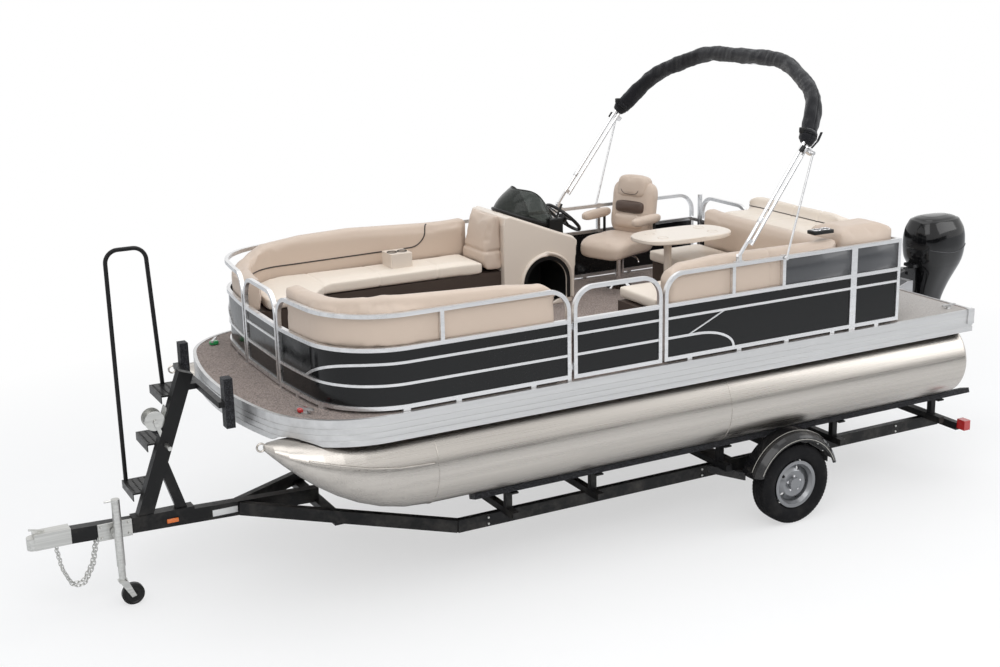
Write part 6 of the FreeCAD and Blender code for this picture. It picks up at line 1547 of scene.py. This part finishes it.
@dataclass
class Outboard(Assembly):
    """The engine's shaped cowl with its seam, its side trim and its latch.

    Each section is a height, the stations of its rear and its front, and its half width.
    """

    sections: Tuple[Tuple[float, float, float, float], ...] = (
        (1.05, -0.905, -0.665, 0.062), (1.15, -0.935, -0.650, 0.078), (1.26, -0.985, -0.635, 0.108),
        (1.36, -1.045, -0.622, 0.142), (1.435, -1.09, -0.616, 0.168), (1.47, -1.108, -0.575, 0.180),
        (1.56, -1.128, -0.556, 0.189), (1.64, -1.130, -0.552, 0.190), (1.72, -1.120, -0.558, 0.184),
        (1.785, -1.095, -0.575, 0.168), (1.83, -1.055, -0.605, 0.142), (1.856, -1.0, -0.65, 0.104),
        (1.868, -0.93, -0.71, 0.056))
    sides: int = 96
    roundness: Tuple[float, float] = (0.72, 0.80)
    rear_taper: float = 0.16
    seam_z: float = 1.452
    seam_depth: float = 0.006

    def build(self) -> None:
        """Makes the cowl and its trim."""
        heights = np.array([row[0] for row in self.sections])
        fine = np.concatenate([np.linspace(1.05, 1.83, 60), np.linspace(1.834, 1.868, 16)])
        columns = [np.interp(fine, heights, [row[k] for row in self.sections]) for k in (1, 2, 3)]
        columns = [self.softened(column) for column in columns]
        turn = around(self.sides)[None, :]
        middle, half = (columns[0] + columns[1]) / 2, (columns[1] - columns[0]) / 2
        x = middle[:, None] + half[:, None] * signed_power(np.cos(turn), self.roundness[0])
        y = columns[2][:, None] * signed_power(np.sin(turn), self.roundness[1])
        y = y * (1 - self.rear_taper * np.clip((middle[:, None] - x) / half[:, None], -1, 1))
        z = np.broadcast_to(fine[:, None], x.shape)
        groove = np.exp(-((fine - self.seam_z) / 0.004) ** 2)[:, None] * self.seam_depth
        x = x - groove * np.cos(turn)
        y = y - groove * np.sin(turn)
        points = np.stack([x + STERN_EDGE, y, z], axis=2)
        cowl = make_mesh("engine_cowl", points, capped_faces(len(fine), self.sides))
        self.add(cowl, "cowl_black", Body.OUTBOARD)
        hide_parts("outboard_cowl")
        for name, side in (("port", 1), ("starboard", -1)):
            swoosh = filleted([(station(-1.10), side * 0.10, 1.60), (station(-0.9), side * 0.2, 1.545),
                               (station(-0.62), side * 0.17, 1.60)], 0.4, 20)
            line = laid_on(cowl, resampled(swoosh, 0.012), 0.0006)
            self.add(tube(f"cowl_trim_{name}", line, 0.005, 8, flatten=0.5), "dark_steel",
                     Body.OUTBOARD)
        latch = [(station(x), y, 1.60) for x, y in ((-0.556, -0.05), (-0.548, 0), (-0.556, 0.05))]
        self.add(tube("cowl_latch", latch, 0.008, 10), "black_plastic", Body.OUTBOARD)

    @staticmethod
    def softened(column: Array) -> Array:
        """A running mean that keeps its ends."""
        padded = np.concatenate([np.full(3, column[0]), column, np.full(3, column[-1])])
        kernel = np.ones(7) / 7
        smooth = np.convolve(padded, kernel, mode="valid")
        smooth[0], smooth[-1] = column[0], column[-1]
        return smooth


@dataclass
class Trailer(Assembly):
    """Tyres with tread, wheel nuts, fender stripes, chains, bolts, markers and labels."""

    axle_x: float = 1.721
    axle_z: float = 0.309
    wheel_y: float = 1.25
    radius: float = 0.309
    tread_half: float = 0.062
    groove_depth: float = 0.0068

    def build(self) -> None:
        """Makes the trailer's small pieces."""
        for name, side, body in (("port", 1.0, Body.TYRE_PORT),
                                 ("starboard", -1.0, Body.TYRE_STARBOARD)):
            self.build_tyre(name, side, body)
            self.build_nuts(name, side, body)
            self.build_stripes(name, side)
        self.build_chains()
        self.build_hardware()
        self.build_winch()
        self.build_steps()

    def build_tyre(self, name: str, side: float, body: Body) -> None:
        """A tyre: its section turned round the axle, with slanted grooves pressed in the tread."""
        wall = [(0.187, 0.052), (0.190, 0.058), (0.196, 0.066), (0.204, 0.072), (0.222, 0.081),
                (0.245, 0.085), (0.268, 0.083), (0.284, 0.077), (0.296, 0.066)]
        crown = [(0.303 + 0.0055 * math.cos(t / self.tread_half * 1.2), t)
                 for t in np.linspace(-self.tread_half, self.tread_half, 35)]
        section = np.array([(r, -w) for r, w in wall[1:]] + crown + wall[::-1]
                           + [(wall[0][0], -wall[0][1])])
        steps, blocks_round = 576, 36
        turn = around(steps)[:, None]
        r, w = section[None, :, 0], section[None, :, 1]
        tread = (r > 0.294).astype(float)
        rounds = sum(np.exp(-((w - place) / 0.0032) ** 2) for place in (-0.034, 0.0, 0.034))
        slant = np.abs(np.sin(blocks_round * turn + np.sign(w) * 42 * np.abs(w)))
        blocks = np.exp(-(slant / 0.22) ** 2) * (np.abs(w) > 0.012)
        ribs = 0.0012 * (np.abs(r - 0.258) < 0.012) * (np.abs(np.sin(90 * turn)) > 0.5)
        radius = r - self.groove_depth * tread * np.clip(rounds + blocks, 0, 1)
        radius = np.minimum(radius, self.radius - 0.0006)
        wide = w + np.sign(w) * ribs
        points = np.stack([station(self.axle_x) + radius * np.cos(turn),
                           side * self.wheel_y + wide + 0 * turn,
                           self.axle_z + radius * np.sin(turn)], axis=2)
        tyre = make_mesh(f"tyre_{name}_treaded", points,
                         grid_faces(steps, section.shape[0], True, True))
        self.add(tyre, "tyre", body)
        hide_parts(f"tyre_{name}")

    def build_nuts(self, name: str, side: float, body: Body) -> None:
        """Five wheel nuts and the grease cap."""
        face = side * (self.wheel_y + 0.028)
        nuts, circle = 5, 0.057
        turn = around(nuts) + 0.3
        spots = np.stack([station(self.axle_x) + circle * np.cos(turn), np.full(nuts, face),
                          self.axle_z + circle * np.sin(turn)], axis=1)
        self.add(studs(f"wheel_nuts_{name}", spots, "Y" if side > 0 else "-Y", 0.011, 0.02),
                 "chrome", body)
        cap = revolve(f"grease_cap_{name}", [(0.0, 0.0), (0.031, 0.0), (0.031, side * 0.022),
                                             (0.026, side * 0.030), (0.0, side * 0.034)],
                      (station(self.axle_x), face, self.axle_z), "Y", 36)
        self.add(cap, "dark_steel", body)

    def build_stripes(self, name: str, side: float) -> None:
        """Two pale lines along the fender, at its crown's edge and above its lip."""
        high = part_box("trailer_fenders")[1]
        outer = side * high.y
        crown, lift = high.z - self.axle_z, 0.0006
        turn = np.radians(np.linspace(22, 158, 60))
        for number, radius, y in ((1, crown + lift, outer - side * 0.072),
                                  (2, crown - 0.050, outer + side * lift)):
            path = np.stack([station(self.axle_x) + radius * np.cos(turn), np.full(60, y),
                             self.axle_z + radius * np.sin(turn)], axis=1)
            self.add(tube(f"fender_line_{name}_{number}", path, 0.0022, 8), "stripe_pale")

    def build_chains(self) -> None:
        """Two safety chains: each link an oval ring of wire, every other one turned a quarter."""
        low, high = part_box("safety_chains")
        front, rear, top = high.x - 0.006, low.x + 0.006, 0.467
        half_long, half_wide, wire = 0.0175, 0.0095, 0.0034
        steps, sides = 20, 8
        across = np.array([0.0, 1.0, 0.0])
        turn, round_wire = around(steps), around(sides)
        pieces = []
        for side in (1.0, -1.0):
            y = side * 0.029
            corners = [(front, y, top), (front - 0.025, y, 0.30), (front - 0.08, y, 0.170),
                       (rear + 0.11, y, 0.165), (rear + 0.04, y, 0.29), (rear, y, top)]
            path = resampled(filleted(corners, 0.05, 12), 0.0242)
            heading = unit(np.gradient(path, axis=0))
            third = np.cross(heading, across)
            odd = (np.arange(len(path)) % 2)[:, None].astype(float)
            flat = odd * across + (1 - odd) * third
            normal = np.cross(heading, flat)
            ahead = half_long * np.cos(turn)
            aside = half_wide * signed_power(np.sin(turn), 0.8)
            centre = (path[:, None, :] + ahead[None, :, None] * heading[:, None, :]
                      + aside[None, :, None] * flat[:, None, :])
            radial = (np.cos(turn)[None, :, None] * heading[:, None, :]
                      + np.sin(turn)[None, :, None] * flat[:, None, :])
            points = (centre[:, :, None, :]
                      + wire * np.cos(round_wire)[None, None, :, None] * radial[:, :, None, :]
                      + wire * np.sin(round_wire)[None, None, :, None] * normal[:, None, None, :])
            single = grid_faces(steps, sides, True, True)
            starts = np.arange(len(path))[:, None, None] * steps * sides
            pieces.append(make_mesh(f"links_{side:.0f}", points.reshape(-1, 3),
                                    (single[None] + starts).reshape(-1, 4)))
        chains = joined("chain_links", pieces)
        self.add(chains, "zinc")
        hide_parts("safety_chains")

    def build_hardware(self) -> None:
        """Bolt heads, U-bolts, side markers and blank labels."""
        low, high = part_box("jack_bracket")
        ends, foot, head = (low.x + 0.022, high.x - 0.022), low.z + 0.02, high.z - 0.02
        spots = [(x, high.y - 0.052, z) for x in ends for z in (foot, head)]
        self.add(studs("bracket_nuts", spots, "Y", 0.0095, 0.012), "zinc")
        near, far = low.y + 0.022, low.y - 0.082
        loops = []
        for index, x in enumerate(ends):
            bow = filleted([(x, near, foot), (x, far, foot), (x, far, head), (x, near, head)], 0.02)
            loops.append(tube(f"u_{index}", resampled(bow, 0.008), 0.0055, 10))
        self.add(joined("bracket_u_bolts", loops), "zinc")
        rail_y = 0.933
        heads = [(station(x), rail_y, z) for x in (0.4, 1.2, 2.3, 3.2, 4.1) for z in (0.372, 0.418)]
        heads += [(x, -y, z) for x, y, z in heads]
        half = len(heads) // 2
        self.add(studs("frame_bolts_port", heads[:half], "Y", 0.009, 0.008), "zinc")
        self.add(studs("frame_bolts_starboard", heads[half:], "-Y", 0.009, 0.008), "zinc")
        for name, side in (("port", 1), ("starboard", -1)):
            marker = rounded_block(f"side_marker_{name}",
                                   (station(6.02), side * 0.043 - 0.006, 0.482),
                                   (station(6.10), side * 0.043 + 0.006, 0.512), 0.004)
            self.add(marker, "amber_lens")
        label = rounded_block("blank_label", (station(5.60), 0.0375, 0.462),
                              (station(5.78), 0.0395, 0.508), 0.0006, 1)
        self.add(label, "label_white")

    def build_winch(self) -> None:
        """Webbing wound on the winch drum."""
        low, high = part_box("winch")
        centre = (low + high) / 2
        drum = revolve("winch_webbing", [(0.02, -0.024), (0.046, -0.024), (0.046, 0.024),
                                         (0.02, 0.024)],
                       (centre.x, 0.0, centre.z + 0.01), "Y", 40)
        self.add(drum, "canvas")

    def build_steps(self) -> None:
        """Rows of grip studs on the boarding steps."""
        mesh = frame["nodes"]["boarding_stand"].data
        count = len(mesh.polygons)
        normals, centres, areas = np.zeros(count * 3), np.zeros(count * 3), np.zeros(count)
        mesh.polygons.foreach_get("normal", normals)
        mesh.polygons.foreach_get("center", centres)
        mesh.polygons.foreach_get("area", areas)
        centres = centres.reshape(-1, 3)
        flat = (normals.reshape(-1, 3)[:, 2] > 0.99) & (centres[:, 1] < -0.06)
        for number, level in enumerate(np.unique(np.round(centres[flat, 2], 2)), 1):
            near = flat & (np.abs(centres[:, 2] - level) < 0.006)
            if areas[near].sum() < 0.01:
                continue
            corner = np.array([mesh.vertices[v].co[:] for k in np.flatnonzero(near)
                               for v in mesh.polygons[k].vertices])
            low, high = corner.min(axis=0), corner.max(axis=0)
            x, y = np.meshgrid(np.linspace(low[0] + 0.02, high[0] - 0.02, 4),
                               np.linspace(low[1] + 0.03, high[1] - 0.03, 9))
            spots = np.stack([x.ravel(), y.ravel(), np.full(x.size, high[2])], axis=1)
            self.add(studs(f"step_grip_{number}", spots, "Z", 0.007, 0.003, 8), "trailer_paint")


@dataclass
class Fence(Assembly):
    """Grey infill plates in the upper bays of the port aft fence."""

    outer_y: float = 1.2575

    def build(self) -> None:
        """Makes the fence's extra pieces."""
        for number, x0, x1 in ((1, 0.768, 1.187), (2, 1.217, 1.836)):
            plate = rounded_block(f"infill_port_{number}", (station(x0), self.outer_y, 1.8385),
                                  (station(x1), self.outer_y + 0.0014, 2.0245), 0.0004, 1)
            self.add(plate, "grey_panel", slot="dark_panel")


@dataclass
class Deck(Assembly):
    """A lighter carpet at the stern that is painted sheen, the table's wavy top, lamps, weld beads and
    the noses' strakes.
    """

    deck_z: float = 1.408
    tube_y: float = 0.999
    tube_z: float = 0.978
    tube_radius: float = 0.3055

    def build(self) -> None:
        """Makes the deck's extra pieces."""
        # Painted sheen: a thin lighter carpet over the stern deck stands for the sheen that the carpet
        # shows there at a grazing angle.
        sheen_patch = rounded_block("stern_carpet_painted_sheen", (station(0.045), -1.262, self.deck_z + 0.0003),
                            (station(0.735), 1.262, self.deck_z + 0.0035), 0.001, 1)
        self.add(sheen_patch, "carpet_painted_sheen", slot="carpet")
        self.build_table()
        self.build_beads()
        self.build_lamps()

    def build_table(self) -> None:
        """The table's top: an oval whose edge swings in and out four times."""
        turn = around(144)
        swing = 1 + 0.022 * np.cos(2 * turn + 0.5) - 0.03 * np.cos(4 * turn)
        outline = np.stack([station(1.95) + 0.409 * swing * signed_power(np.cos(turn), 0.86),
                            0.13 + 0.244 * swing * signed_power(np.sin(turn), 0.86)], axis=1)
        top = slab("table_top", outline, 2.006, 2.0435, 0.008)
        self.add(top, "table_beige", slot="console_beige")
        for number, x, y in ((1, 1.72, 0.22), (2, 2.18, 0.22), (3, 1.72, 0.04), (4, 2.18, 0.04)):
            ring = revolve(f"table_cup_{number}", [(0.036, 0.0), (0.044, 0.0), (0.042, 0.0025),
                                                   (0.038, 0.0025)],
                           (station(x), y, 2.0432), "Z", 40)
            self.add(ring, "console_beige")

    def build_beads(self) -> None:
        """Weld beads round the tubes and the raised strakes on their noses."""
        for name, side in (("port", 1), ("starboard", -1)):
            y, z, r = side * self.tube_y, self.tube_z, self.tube_radius
            reach = r + 0.0145
            beads = []
            for number, x in ((1, 2.311), (2, 4.632)):
                ring = ellipse_path((station(x), y, z), (0, r, 0), (0, 0, r), 96)
                beads.append(tube(f"bead_{name}_{number}", ring, 0.0035, 8, closed=True))
            self.add(joined(f"weld_beads_{name}", beads), "pontoon_metal")
            hull = frame["nodes"][f"pontoon_{name}"]
            aim = [(station(x), y + side * reach * math.cos(math.radians(t)),
                    z + reach * math.sin(math.radians(t)))
                   for x, t in ((4.66, 12), (4.9, 14), (5.1, 20), (5.3, 30), (5.48, 42))]
            line = laid_on(hull, resampled(np.asarray(aim), 0.015), 0.002)
            self.add(tube(f"nose_strake_{name}", line, 0.011, 10, flatten=0.6), "pontoon_metal")

    def build_lamps(self) -> None:
        """Blank red and green bow lamps on the skirt."""
        for name, side, finish in (("port", 1, "red_lens"), ("starboard", -1, "green_lens")):
            x, y = station(5.40), side * 0.93
            lamp = pillow(f"bow_lamp_{name}", (x, y, self.deck_z + 0.018), (0.07, 0.045, 0.034), 0.6)
            self.add(lamp, finish)


def main() -> None:
    """Builds the studio, the finishes and every piece."""
    logging.basicConfig(level=logging.INFO, format="%(message)s")
    palette = Palette()
    slots = {row["node"]: row["material_slot"] for row in frame["record"]["subparts"]}
    palette.dress_nodes(slots)
    Studio().build()
    for group in (Lounges, CaptainsChair, Helm, Canopy, Outboard, Trailer, Fence, Deck):
        group(palette).build()


if __name__ == "__main__":
    main()
